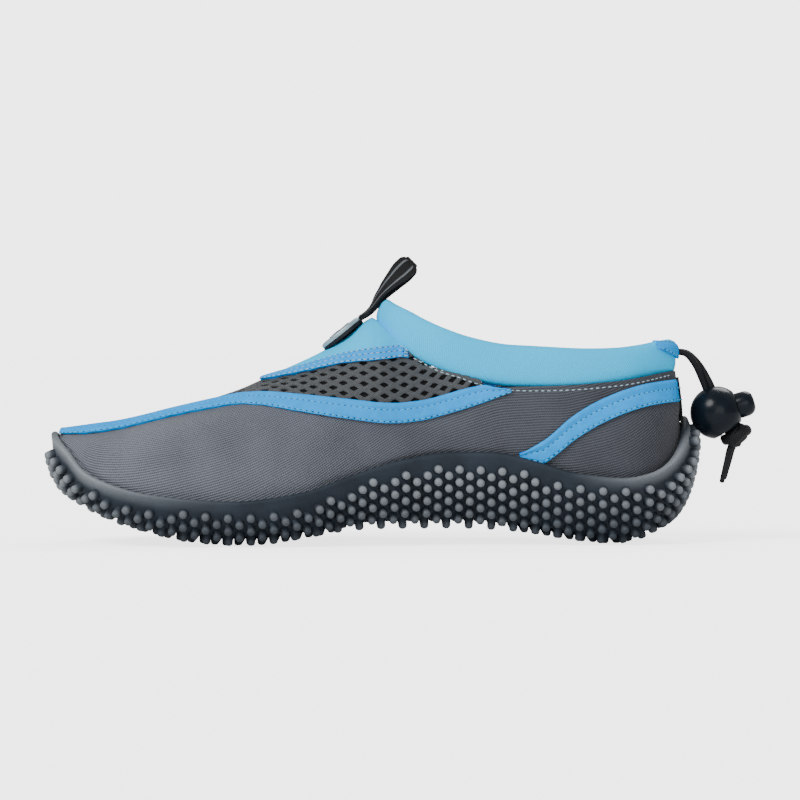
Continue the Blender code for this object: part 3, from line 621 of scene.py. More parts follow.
        piece = Bench.grid(name, rows, np.stack(flat_map, axis=-1))
        Bench.close_ends(piece)
        return piece

    @staticmethod
    def close_ends(piece: Piece) -> None:
        """Merges the seam of a tube, fills its open ends and turns it outwards."""
        with Bench.editing(piece):
            bpy.ops.mesh.remove_doubles(threshold=0.000002)
            bpy.ops.mesh.select_all(action="DESELECT")
            bpy.ops.mesh.select_mode(type="EDGE")
            bpy.ops.mesh.select_non_manifold(extend=False, use_wire=False, use_multi_face=False,
                                             use_non_contiguous=False, use_verts=False)
            bpy.ops.mesh.edge_face_add()
            bpy.ops.mesh.select_mode(type="VERT")
            bpy.ops.mesh.select_all(action="SELECT")
            bpy.ops.mesh.normals_make_consistent(inside=False)

    @staticmethod
    def join(name: str, pieces: list[Piece]) -> Piece:
        """Joins pieces into one."""
        Bench.clear()
        for piece in pieces:
            piece.select_set(True)
        bpy.context.view_layer.objects.active = pieces[0]
        bpy.ops.object.join()
        return Bench.named(name)


def settle(piece: Piece, finish: "Finish", body: Body | None, *nodes: str,
           degrees: float = 45) -> Piece:
    """Dresses a finished piece and puts it on its body.

    Args:
        piece: The piece.
        finish: Its finish.
        body: The body it rides on, or none to leave it on no body.
        nodes: The plain solids that it stands for.
        degrees: Angle past which an edge stays sharp.

    Returns:
        The same piece.
    """
    piece.data.materials.clear()
    piece.data.materials.append(finish.material())
    Bench.smooth(piece, degrees)
    if body is not None:
        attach(piece, body.value)
    if nodes:
        piece.name = nodes[0] + "_finished"
        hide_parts(*nodes)
    LOG.info("%s: %d faces", piece.name, len(piece.data.polygons))
    return piece


# ---------------------------------------------------------------- finishes


class Nodes:
    """A short way to write a material's nodes."""

    def __init__(self, name: str) -> None:
        """Starts a material with one Principled shader."""
        self.made = bpy.data.materials.new(name)
        self.made.use_nodes = True
        self.tree = self.made.node_tree
        self.shader = self.tree.nodes["Principled BSDF"]

    def add(self, kind: str, inputs: dict | None = None, **settings: object) -> bpy.types.Node:
        """Adds a node.

        Args:
            kind: Its type, without the leading ShaderNode.
            inputs: Values or outputs to link, by socket name or number.
            settings: Its properties.

        Returns:
            The node.
        """
        node = self.tree.nodes.new("ShaderNode" + kind)
        for key, value in settings.items():
            setattr(node, key, value)
        for key, value in (inputs or {}).items():
            self.put(node.inputs[key], value)
        return node

    def put(self, socket: Socket, value: object) -> None:
        """Links an output to a socket, or sets its value."""
        if isinstance(value, Socket):
            self.tree.links.new(value, socket)
        else:
            socket.default_value = value

    def dress(self, name: str, value: object) -> None:
        """Links an output to an input of the shader, or sets that input."""
        self.put(self.shader.inputs[name], value)

    def uv(self, turn: float = 0.0) -> Socket:
        """The piece's own flat map in millimetres, turned."""
        where = self.add("TexCoord").outputs["UV"]
        return self.add("Mapping", {"Vector": where, "Rotation": (0, 0, math.radians(turn))}).outputs[0]

    def space(self) -> Socket:
        """Object coordinates, in millimetres."""
        where = self.add("TexCoord").outputs["Object"]
        return self.add("Mapping", {"Vector": where, "Scale": (1 / MM,) * 3}).outputs[0]

    def noise(self, where: Socket, scale: float, detail: float = 3.0) -> Socket:
        """Value of a noise pattern."""
        return self.add("TexNoise", {"Vector": where, "Scale": scale, "Detail": detail}).outputs[0]

    def ramp(self, value: object, *stops: tuple[float, tuple[float, float, float]]) -> Socket:
        """Colours by value."""
        node = self.add("ValToRGB", {0: value})
        elements = node.color_ramp.elements
        while len(elements) < len(stops):
            elements.new(0.5)
        for element, (at, colour) in zip(elements, stops):
            element.position = at
            element.color = (*colour, 1)
        return node.outputs[0]

    def math(self, operation: str, a: object, b: object, c: object = 0.0) -> Socket:
        """One sum, of which only some take the third value."""
        return self.add("Math", {0: a, 1: b, 2: c}, operation=operation).outputs[0]

    def weigh(self, a: object, a_weight: float, b: object, b_weight: float) -> Socket:
        """Two values added up, each with its weight."""
        return self.math("ADD", self.math("MULTIPLY", a, a_weight), self.math("MULTIPLY", b, b_weight))

    def mix(self, share: object, a: object, b: object) -> Socket:
        """Colour between two others."""
        colours = [(*c, 1) if isinstance(c, tuple) else c for c in (a, b)]
        node = self.add("Mix", {0: share, 6: colours[0], 7: colours[1]}, data_type="RGBA")
        return node.outputs[2]

    def bump(self, height: object, distance: float, strength: float = 1.0,
             after: Socket | None = None) -> Socket:
        """Bump from a height, in metres."""
        inputs = {"Height": height, "Distance": distance, "Strength": strength}
        if after is not None:
            inputs["Normal"] = after
        return self.add("Bump", inputs).outputs[0]


@dataclass(frozen=True)
class Finish:
    """A finish: its colour, and how rough and how sheer it is."""

    name: str
    slot: str
    colour: tuple[float, float, float]
    roughness: float = 0.6

    def material(self) -> bpy.types.Material:
        """The finish's material, made once."""
        name = self.name + "_finish"
        found = bpy.data.materials.get(name)
        if found is None:
            nodes = Nodes(name)
            nodes.dress("Roughness", self.roughness)
            self.paint(nodes)
            found = nodes.made
        return found

    def paint(self, nodes: Nodes) -> None:
        """Adds the finish's own pattern."""
        raise NotImplementedError

    def shade(self, factor: float) -> tuple[float, float, float]:
        """The colour, lighter or darker."""
        return tuple(min(1.0, c * factor) for c in self.colour)


@dataclass(frozen=True)
class Knit(Finish):
    """Knitted facing of neoprene: fine slanting ribs over a soft foam."""

    pitch: float = 0.8
    slant: float = 30.0
    depth: float = 0.00016
    contrast: float = 0.16
    sheen: float = 0.08
    shine: float = 0.12
    # Colour factors at the toe and at the heel: part the knit's own tone, part painted light at the toe and
    # painted shade at the heel.
    toe_painted_light_and_tone: float = 1.0
    tone_and_painted_light: float = 1.0

    def paint(self, nodes: Nodes) -> None:
        """Ribs, loops within each rib, a mottled tone, a soft sheen and a fade from toe to heel that is part
        tone, part painted light and painted shade.
        """
        turned = nodes.uv(self.slant)
        ribs = nodes.add("TexWave", {"Vector": turned, "Scale": WAVE_SCALE / self.pitch,
                                     "Distortion": 0.6, "Detail": 1.0, "Detail Scale": 2.0},
                         bands_direction="X").outputs[1]
        loops = nodes.add("TexWave", {"Vector": turned, "Scale": WAVE_SCALE / (self.pitch * 0.8),
                                      "Distortion": 0.8, "Detail": 1.0}, bands_direction="Y").outputs[1]
        fibre = nodes.noise(nodes.uv(), 2.4, 4.0)
        broad = nodes.noise(nodes.space(), 0.05, 2.0)
        height = nodes.weigh(ribs, 0.75, loops, 0.35)
        tone = nodes.weigh(height, 0.55, fibre, 0.5)
        tone = nodes.math("ADD", tone, nodes.math("MULTIPLY", broad, 0.35))
        low, high = 1 - self.contrast * 2, 1 + self.contrast
        # Lighter at the toe and darker at the heel, mixed along X: part tone, part painted light and painted
        # shade.
        ends = [nodes.ramp(tone, (0.35, self.shade(low * cast)), (0.75, self.shade(cast)),
                           (1.0, self.shade(high * cast))) for cast in (self.toe_painted_light_and_tone, self.tone_and_painted_light)]
        along = nodes.add("SeparateXYZ", {"Vector": nodes.space()}).outputs["X"]
        share = nodes.add("MapRange", {"Value": along, "From Min": -120.0, "From Max": 115.0}).outputs[0]
        nodes.dress("Base Color", nodes.mix(share, *ends))
        soft = nodes.bump(broad, 0.0008, 0.4)
        fine = nodes.bump(height, self.depth, 0.8, soft)
        nodes.dress("Normal", nodes.bump(fibre, 0.00006, 0.6, fine))
        nodes.shader.inputs["Sheen Weight"].default_value = self.sheen
        nodes.shader.inputs["Sheen Roughness"].default_value = 0.5
        nodes.shader.inputs["Specular IOR Level"].default_value = self.shine


@dataclass(frozen=True)
class Coated(Finish):
    """Smooth coated trim with a faint leather-like grain."""

    grain: float = 0.00005

    def paint(self, nodes: Nodes) -> None:
        """Fine grain, slight creases and a rubbed tone."""
        where = nodes.space()
        grain = nodes.add("TexVoronoi", {"Vector": where, "Scale": 1.7}).outputs[0]
        cloud = nodes.noise(where, 0.12, 4.0)
        rub = nodes.noise(where, 0.6, 3.0)
        tone = nodes.weigh(cloud, 0.6, rub, 0.4)
        colour = nodes.ramp(tone, (0.3, self.shade(0.84)), (0.55, self.colour), (0.8, self.shade(1.12)))
        nodes.dress("Base Color", colour)
        rough = nodes.ramp(rub, (0.3, (self.roughness - 0.08,) * 3), (0.7, (self.roughness + 0.1,) * 3))
        nodes.dress("Roughness", rough)
        crease = nodes.bump(nodes.noise(where, 0.35, 5.0), 0.0005, 0.5)
        nodes.dress("Normal", nodes.bump(grain, self.grain, 0.5, crease))
        nodes.shader.inputs["Specular IOR Level"].default_value = 0.02


@dataclass(frozen=True)
class Rubber(Finish):
    """Moulded rubber, paler with dust on the studs' tips, and with dust and a painted highlight along the
    cup's rim.
    """

    # Pale colour for dust on the studs' tips and for dust with a painted highlight along the cup's rim.
    dust_and_highlight: tuple[float, float, float] = (0.20, 0.22, 0.24)
    highlight_and_dust_amount: float = 1.1

    def paint(self, nodes: Nodes) -> None:
        """A matte ground, pale dust and a painted rim highlight by the tip marks, less of it towards the
        bottom, and a fine moulding grain.
        """
        where = nodes.space()
        cloud = nodes.noise(where, 0.09, 4.0)
        grit = nodes.noise(where, 1.6, 4.0)
        tip = nodes.add("Attribute", attribute_name="tip").outputs["Fac"]
        ground = nodes.ramp(cloud, (0.3, self.shade(0.8)), (0.7, self.shade(1.35)))
        # The tip marks carry dust, and on the cup's rim a painted highlight too; the share grows with
        # height.
        tone_and_painted_light = nodes.math("MULTIPLY", tip, nodes.math("MULTIPLY_ADD", grit, 0.7, 0.45))
        height = nodes.add("SeparateXYZ", {"Vector": where}).outputs["Z"]
        raised = nodes.add("MapRange", {"Value": height, "From Min": 4.0, "From Max": 24.0,
                                        "To Min": 0.12}).outputs[0]
        share = nodes.math("MULTIPLY", nodes.math("MULTIPLY", tone_and_painted_light, self.highlight_and_dust_amount), raised)
        nodes.dress("Base Color", nodes.mix(share, ground, self.dust_and_highlight))
        rough = nodes.ramp(grit, (0.3, (self.roughness - 0.1,) * 3), (0.8, (self.roughness + 0.1,) * 3))
        nodes.dress("Roughness", rough)
        soft = nodes.bump(cloud, 0.0006, 0.3)
        nodes.dress("Normal", nodes.bump(grit, 0.00005, 0.5, soft))
        nodes.shader.inputs["Specular IOR Level"].default_value = 0.2


@dataclass(frozen=True)
class Woven(Finish):
    """Woven tape, webbing or braid, whose threads cross at an angle."""

    pitch: float = 0.7
    slant: float = 45.0
    # Factor for the crowns' colour: a painted highlight on the raised threads.
    light: float = 3.5
    depth: float = 0.00012

    def paint(self, nodes: Nodes) -> None:
        """Crossed threads with paler crowns: a painted highlight on the raised threads."""
        waves = []
        for turn in (self.slant, self.slant - 90 if self.slant else 90):
            waves.append(nodes.add("TexWave", {"Vector": nodes.uv(turn), "Distortion": 0.4,
                                               "Scale": WAVE_SCALE / self.pitch, "Detail": 1.0},
                                   bands_direction="X").outputs[1])
        height = nodes.math("MULTIPLY", waves[0], waves[1])
        fibre = nodes.noise(nodes.uv(), 3.0, 3.0)
        tone = nodes.weigh(height, 0.8, fibre, 0.4)
        # The top stop paints the crowns lighter, a painted highlight.
        colour = nodes.ramp(tone, (0.25, self.shade(0.6)), (0.7, self.shade(1.2)),
                            (1.0, self.shade(self.light)))
        nodes.dress("Base Color", colour)
        nodes.dress("Normal", nodes.bump(height, self.depth, 0.9))
        nodes.shader.inputs["Sheen Weight"].default_value = 0.03
        nodes.shader.inputs["Specular IOR Level"].default_value = 0.2


@dataclass(frozen=True)
class Thread(Finish):
    """Sewing thread."""

    def paint(self, nodes: Nodes) -> None:
        """Twisted fibres, from a fine noise."""
        twist = nodes.noise(nodes.space(), 3.0, 2.0)
        nodes.dress("Base Color", nodes.ramp(twist, (0.3, self.shade(0.75)), (0.7, self.shade(1.15))))
        nodes.dress("Normal", nodes.bump(twist, 0.00005, 0.6))
        nodes.shader.inputs["Sheen Weight"].default_value = 0.05


@dataclass(frozen=True)
class Plastic(Finish):
    """Moulded plastic with a trace of handling marks."""

    metal: float = 0.0
    gloss: float = 0.22

    def paint(self, nodes: Nodes) -> None:
        """Smudges in the gloss and fine scratches."""
        where = nodes.space()
        smudge = nodes.noise(where, 0.25, 4.0)
        scratch = nodes.noise(where, 1.8, 3.0)
        nodes.dress("Base Color", nodes.ramp(smudge, (0.3, self.shade(0.85)), (0.7, self.shade(1.25))))
        low, high = max(0.02, self.roughness - 0.08), self.roughness + 0.12
        nodes.dress("Roughness", nodes.ramp(scratch, (0.3, (low,) * 3), (0.75, (high,) * 3)))
        nodes.dress("Normal", nodes.bump(scratch, 0.00002, 0.4))
        nodes.shader.inputs["Specular IOR Level"].default_value = self.gloss
        nodes.shader.inputs["Metallic"].default_value = self.metal


# The grey knit fades from painted light at the toe to painted shade at the heel, on top of its own tone.
GREY_KNIT = Knit("grey_knit", "grey_neoprene", (0.094, 0.101, 0.121), 0.85, pitch=0.95, slant=70,
                 contrast=0.36, depth=0.00032, sheen=0.1, toe_painted_light_and_tone=1.45, tone_and_painted_light=0.52)
CYAN_KNIT = Knit("cyan_knit", "cyan_neoprene", (0.0, 0.54, 0.97), 0.9, pitch=0.7, slant=35,
                 contrast=0.1, depth=0.00014, sheen=0.0, shine=0.04)
LINING_KNIT = Knit("lining_knit", "lining", (0.16, 0.13, 0.10), 0.9, pitch=0.6, slant=0)
INSOLE_KNIT = Knit("insole_knit", "footbed_foam", (0.03, 0.034, 0.04), 0.9, pitch=0.9, slant=90)
BOARD = Knit("board_felt", "board", (0.3, 0.28, 0.24), 0.9, pitch=1.4, slant=45)
SKY_TRIM = Coated("sky_trim", "sky_trim", (0.0, 0.31, 0.80), 0.75)
SOLE_RUBBER = Rubber("sole_rubber", "sole_rubber", (0.013, 0.019, 0.028), 0.66)
NET_YARN = Woven("net_yarn", "spacer_mesh", (0.060, 0.065, 0.070), 0.6, pitch=0.45, slant=35, light=5.0)
# Near-black backing of the mesh: the dark seen through the holes is painted shade.
NET_SHADE_BACKING = Woven("net_shade_backing", "spacer_mesh", (0.004, 0.004, 0.005), 0.85, pitch=0.5, slant=45, light=2)
TAPE = Woven("heel_tape", "black_tape", (0.008, 0.009, 0.011), 0.75, pitch=0.8, slant=0, light=2.5)
BRAID = Woven("cord_braid", "elastic_cord", (0.004, 0.0045, 0.006), 0.6, pitch=0.75, slant=38, light=7)
WEBBING = Woven("loop_webbing", "webbing", (0.004, 0.0042, 0.005), 0.7, pitch=0.75, slant=45, light=5)
STRIPE = Woven("loop_stripe", "webbing", (0.12, 0.13, 0.14), 0.5, pitch=0.4, slant=0, light=1.5)
SKY_THREAD = Thread("sky_thread", "sky_trim", (0.05, 0.42, 0.74), 0.75)
WHITE_THREAD = Thread("white_thread", "sky_trim", (0.34, 0.46, 0.52), 0.6)
# Dark dots for the needle holes: painted shade inside each hole.
NEEDLE_HOLE_SHADE = Thread("painted_hole_shade", "sky_trim", (0.006, 0.03, 0.07), 0.9)
LOCK_PLASTIC = Plastic("lock_plastic", "lock_plastic", (0.0035, 0.0065, 0.0105), 0.24, gloss=0.15)
SPRING_STEEL = Plastic("spring_steel", "spring_steel", (0.55, 0.55, 0.57), 0.25, metal=1.0)
BADGE_BLACK = Plastic("badge_black", "badge_black", (0.006, 0.006, 0.008), 0.5)
BADGE_SILVER = Plastic("badge_silver", "badge_silver", (0.26, 0.36, 0.40), 0.35, metal=0.3)


# ---------------------------------------------------------------- sub-assemblies


@dataclass
class Studio:
    """Floor, lights and camera."""

    aim: tuple[float, float, float] = (10.3, -20.0, 54.9)
    frame_width: float = 306.3
    distance: float = 1700.0
    elevation: float = 1.3
    surround: float = 0.5
    backdrop: float = 4.0
    glow: float = 2.6

    def build(self) -> None:
        """Makes the camera first, then the floor and the lights."""
        camera = bpy.data.cameras.new("camera")
        camera.sensor_width = 36
        camera.lens = 36 * self.distance / self.frame_width
        camera.clip_end = 20
        holder = bpy.data.objects.new("camera", camera)
        bpy.context.scene.collection.objects.link(holder)
        rise = math.radians(self.elevation)
        away = Vector((0, -math.cos(rise), math.sin(rise))) * self.distance
        holder.location = (Vector(self.aim) + away) * MM
        holder.rotation_euler = (math.pi / 2 - rise, 0, 0)
        bpy.context.scene.camera = holder
        self.floor()
        self.lights()

    def floor(self) -> None:
        """A plain pale floor under the soles."""
        Bench.clear()
        bpy.ops.mesh.primitive_plane_add(size=12, location=(0, 0, -0.0004))
        floor = Bench.named("studio_floor")
        nodes = Nodes("studio_floor")
        nodes.shader.inputs["Base Color"].default_value = (0.86, 0.86, 0.86, 1)
        nodes.shader.inputs["Roughness"].default_value = 0.9
        nodes.shader.inputs["Specular IOR Level"].default_value = 0.0
        nodes.shader.inputs["Emission Color"].default_value = (1, 1, 1, 1)
        seen = nodes.add("LightPath").outputs["Is Camera Ray"]
        nodes.dress("Emission Strength", nodes.math("MULTIPLY", seen, self.glow))
        floor.data.materials.append(nodes.made)

    def lights(self) -> None:
        """A bright even surround, a broad key from above and a low fill."""
        world = bpy.data.worlds.new("studio")
        world.use_nodes = True
        tree = world.node_tree
        tree.nodes["Background"].inputs[0].default_value = (1, 1, 1, 1)
        seen = tree.nodes.new("ShaderNodeLightPath")
        strength = tree.nodes.new("ShaderNodeMapRange")
        strength.inputs["To Min"].default_value = self.surround
        strength.inputs["To Max"].default_value = self.backdrop
        tree.links.new(seen.outputs["Is Camera Ray"], strength.inputs["Value"])
        tree.links.new(strength.outputs[0], tree.nodes["Background"].inputs[1])
        bpy.context.scene.world = world
        for name, place, power, size in (("key", (-0.85, -0.95, 1.15), 3.1, 28),
                                         ("fill", (0.3, -1.6, 0.35), 0.9, 40),
                                         ("back", (0.3, 0.9, 1.1), 1.3, 30)):
            light = bpy.data.lights.new(name, "SUN")
            light.energy = power
            light.angle = math.radians(size)
            holder = bpy.data.objects.new(name, light)
            bpy.context.scene.collection.objects.link(holder)
            holder.location = place
            direction = Vector((0, 0, 0.04)) - Vector(place)
            holder.rotation_euler = direction.to_track_quat("-Z", "Y").to_euler()


@dataclass
class Drawcord:
    """The free strands, their knot and their tips."""

    radius: float = 1.25
    tip_radius: float = 1.05
    knot_centre: tuple[float, float, float] = (140.6, 0.5, 40.9)
    knot_reach: tuple[float, float, float] = (6.5, 5.6, 4.6)
    knot_cord: float = 1.35
    knot_lean: float = KNOT_LEAN
    medial: Points = (
        (117.5, -0.9, 73.2), (120.9, -0.9, 72.5), (123.3, -0.9, 70.1), (125.3, -0.6, 66.9),
        (126.9, 0.1, 63.3), (128.2, 0.4, 60.3), (129.6, 0.5, 56.4), (131.4, 0.5, 49.2), (133.2, 0.5, 43.3),
        (134.2, 0.5, 40.8),
    )
    lateral: Points = (
        (117.5, 2.9, 73.2), (121.3, 2.9, 72.7), (124.4, 2.8, 70.4), (127.0, 2.3, 67.2), (129.0, 1.5, 63.8),
        (130.5, 0.9, 60.9), (132.0, 0.6, 57.2), (134.1, 0.5, 50.1), (135.8, 0.5, 45.2), (136.4, 0.5, 43.2),
    )
    tail_medial: Points = (
        (139.2, 0.5, 37.6), (138.0, 0.5, 34.9), (137.2, 0.1, 31.8), (136.0, -0.4, 27.0),
        (134.9, -0.8, 22.6),
    )
    tail_lateral: Points = (
        (139.9, 2.0, 37.6), (138.9, 2.4, 34.9), (138.2, 2.7, 31.8), (137.0, 2.4, 27.4), (136.0, 2.1, 23.8),
    )
    strands: dict = field(default_factory=dict)
    fittings: list = field(default_factory=list)

    def build(self) -> None:
        """Makes the strands, then what hangs on them."""
        self.knot()
        for label, points in (("medial", self.medial), ("lateral", self.lateral)):
            path = smoothed(points, 6)
            strand = Bench.tube("drawcord_" + label, path, self.radius, 16)
            settle(strand, BRAID, Body.DRAWCORD, "drawcord_" + label)
            self.strands[label] = (strand, path)
        for label, points in (("medial", self.tail_medial), ("lateral", self.tail_lateral)):
            path = smoothed(points, 6)
            taper = np.linspace(1.05, 0.72, len(path)) * self.tip_radius
            tail = Bench.tube("cord_tail_" + label, path, taper, 14, flat=1.25)
            self.fittings.append(settle(tail, BRAID, Body.DRAWCORD, "cord_tail_" + label))

    def knot(self) -> None:
        """An overhand knot, drawn tight under the lock."""
        lumps = []
        turn = np.linspace(0, 2 * np.pi, 72, endpoint=False)
        reach = np.array(self.knot_reach) - self.knot_cord
        for lean, roll, size in ((0.25, 0.5, 1.0), (-0.75, 1.9, 0.97), (1.25, -0.6, 0.94), (0.9, 2.8, 0.9)):
            wave = 0.16 * np.sin(3 * turn + roll)
            ring = np.stack([np.cos(turn), np.sin(turn), wave], axis=1) * size
            spin = Matrix.Rotation(lean, 3, "X") @ Matrix.Rotation(roll, 3, "Z")
            spin = spin @ Matrix.Rotation(lean, 3, "Y")
            ring = unit(ring @ np.array(spin).T) * size * reach
            lumps.append(Bench.tube("knot_turn", ring, self.knot_cord, 12, flat=1.25, closed=True))
        core = Bench.turned("knot_core", ((0, -1), (0.5, -0.87), (0.87, -0.5), (1, 0), (0.87, 0.5),
                                          (0.5, 0.87), (0, 1)), 18)
        Bench.place(core, Matrix.Diagonal([*(Vector(self.knot_reach) * 0.84 * MM), 1]))
        knot = Bench.join("cord_knot", [*lumps, core])
        lean = Matrix.Rotation(math.radians(-self.knot_lean), 4, "Y")
        Bench.place(knot, Matrix.Translation(Vector(self.knot_centre) * MM) @ lean)
        self.fittings.append(settle(knot, BRAID, Body.DRAWCORD, "cord_knot"))


@dataclass
class CordLock:
    """Round lock on the drawcord: barrel, plunger and spring."""

    centre: tuple[float, float, float] = (132.9, 0.5, 49.6)
    radius: float = 10.2
    tilt: float = 17.0
    bore: float = 5.3
    bore_floor: float = -8.2
    plunger_radius: float = 4.9
    plunger_end: float = 15.2
    plunger_start: float = -3.8
    wire: float = 0.25
    coil_radius: float = 3.3
    coil_turns: int = 3
    channel_radius: float = 1.85
    channel_width: float = 3.3
    window_width: float = 5.6
    flat_drop: float = 8.1
    pressed: float = 0.3
    knot_lean: float = KNOT_LEAN
    pieces: list = field(default_factory=list)

    @property
    def stand(self) -> Matrix:
        """Place of the lock: its own Z runs along the plunger."""
        rise = math.radians(self.tilt)
        axis = Vector((math.cos(rise), 0, math.sin(rise)))
        turn = axis.to_track_quat("Z", "Y").to_matrix().to_4x4()
        return Matrix.Translation(Vector(self.centre)) @ turn

    def build(self) -> None:
        """Makes the three pieces."""
        self.barrel()
        self.plunger()
        self.spring()

    def seat(self, piece: Piece) -> None:
        """Puts a piece, modelled about its own Z, in its place in metres."""
        Bench.place(piece, Matrix.Scale(MM, 4) @ self.stand)

    def channel(self, length: float, width: float, shift: float) -> Piece:
        """Cutter for the cords' way through, stretched along the plunger."""
        Bench.clear()
        bpy.ops.mesh.primitive_cylinder_add(vertices=40, radius=self.channel_radius, depth=length)
        cutter = Bench.named("channel")
        for vert in cutter.data.vertices:
            vert.co.x += math.copysign(width / 2, vert.co.x) if abs(vert.co.x) > 1e-4 else 0
        lie = Matrix.Rotation(math.pi / 2, 4, "Y") @ Matrix.Rotation(-math.pi / 2, 4, "X")
        Bench.place(cutter, Matrix.Translation((0, 0, shift)) @ lie)
        return cutter

    def barrel(self) -> None:
        """Ball with a bore for the plunger, a channel for the cords and a flat under it."""
        mouth = math.asin((self.bore + 0.9) / self.radius)
        profile = [(0.0, -self.radius)]
        for angle in np.linspace(-np.pi / 2, np.pi / 2 - mouth, 28)[1:]:
            profile.append((self.radius * math.cos(angle), self.radius * math.sin(angle)))
        top = profile[-1][1]
        profile += [(self.bore + 0.45, top + 0.25), (self.bore, top - 0.1), (self.bore, 0.0),
                    (self.bore, self.bore_floor), (0.0, self.bore_floor)]
        ball = Bench.turned("lock_barrel", tuple(profile), 56)
        cutter = self.channel(30, self.channel_width, 0.0)
        Bench.cut(ball, cutter)
        self.seat(ball)
        lean = math.radians(self.knot_lean)
        facing = Vector((math.sin(lean), 0, -math.cos(lean)))
        at = (Vector(self.centre) + facing * self.flat_drop) * MM
        with Bench.editing(ball):
            bpy.ops.mesh.bisect(plane_co=at, plane_no=facing, clear_outer=True, use_fill=True)
        Bench.modify(ball, "BEVEL", width=0.45 * MM, segments=3, limit_method="ANGLE",
                     angle_limit=math.radians(28), miter_outer="MITER_ARC")
        self.pieces.append(settle(ball, LOCK_PLASTIC, Body.LOCK, "lock_barrel", degrees=40))

    def plunger(self) -> None:
        """Button that slides in the bore, with a domed and dished end."""
        r, end = self.plunger_radius, self.plunger_end
        profile = [(0, self.plunger_start), (r - 0.5, self.plunger_start), (r, self.plunger_start + 0.5),
                   (r, 0.0), (r, 8.6), (r + 0.12, 9.3)]
        for angle in np.linspace(0, np.pi / 2, 9):
            profile.append((1.9 + (r - 1.85) * math.cos(angle), end - 3.6 + 3.6 * math.sin(angle)))
        profile += [(1.2, end - 0.15), (0, end - 0.3)]
        button = Bench.turned("lock_plunger", profile, 44)
        cutter = self.channel(14, self.window_width, 1.2)
        Bench.cut(button, cutter)
        self.seat(button)
        self.pieces.append(settle(button, LOCK_PLASTIC, Body.PLUNGER, "lock_plunger", degrees=40))

    def spring(self) -> None:
        """Coil between the bore's floor and the plunger."""
        turn = np.linspace(0, self.coil_turns * 2 * np.pi, 85)
        low, high = self.bore_floor + self.wire + 0.3, self.plunger_start - self.wire - 0.3
        coil = np.stack([self.coil_radius * np.cos(turn), self.coil_radius * np.sin(turn),
                         np.linspace(low, high, len(turn))], axis=1)
        spring = Bench.tube("lock_spring", coil, self.wire, 8)
        Bench.place(spring, Matrix.Scale(1 / MM, 4))
        self.seat(spring)
        self.pieces.append(settle(spring, SPRING_STEEL, Body.LOCK, "lock_spring"))
        inward = self.stand.to_3x3() @ Vector((0, 0, -1))
        foot = self.stand @ Vector((0, 0, low)) * MM
        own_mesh(spring)


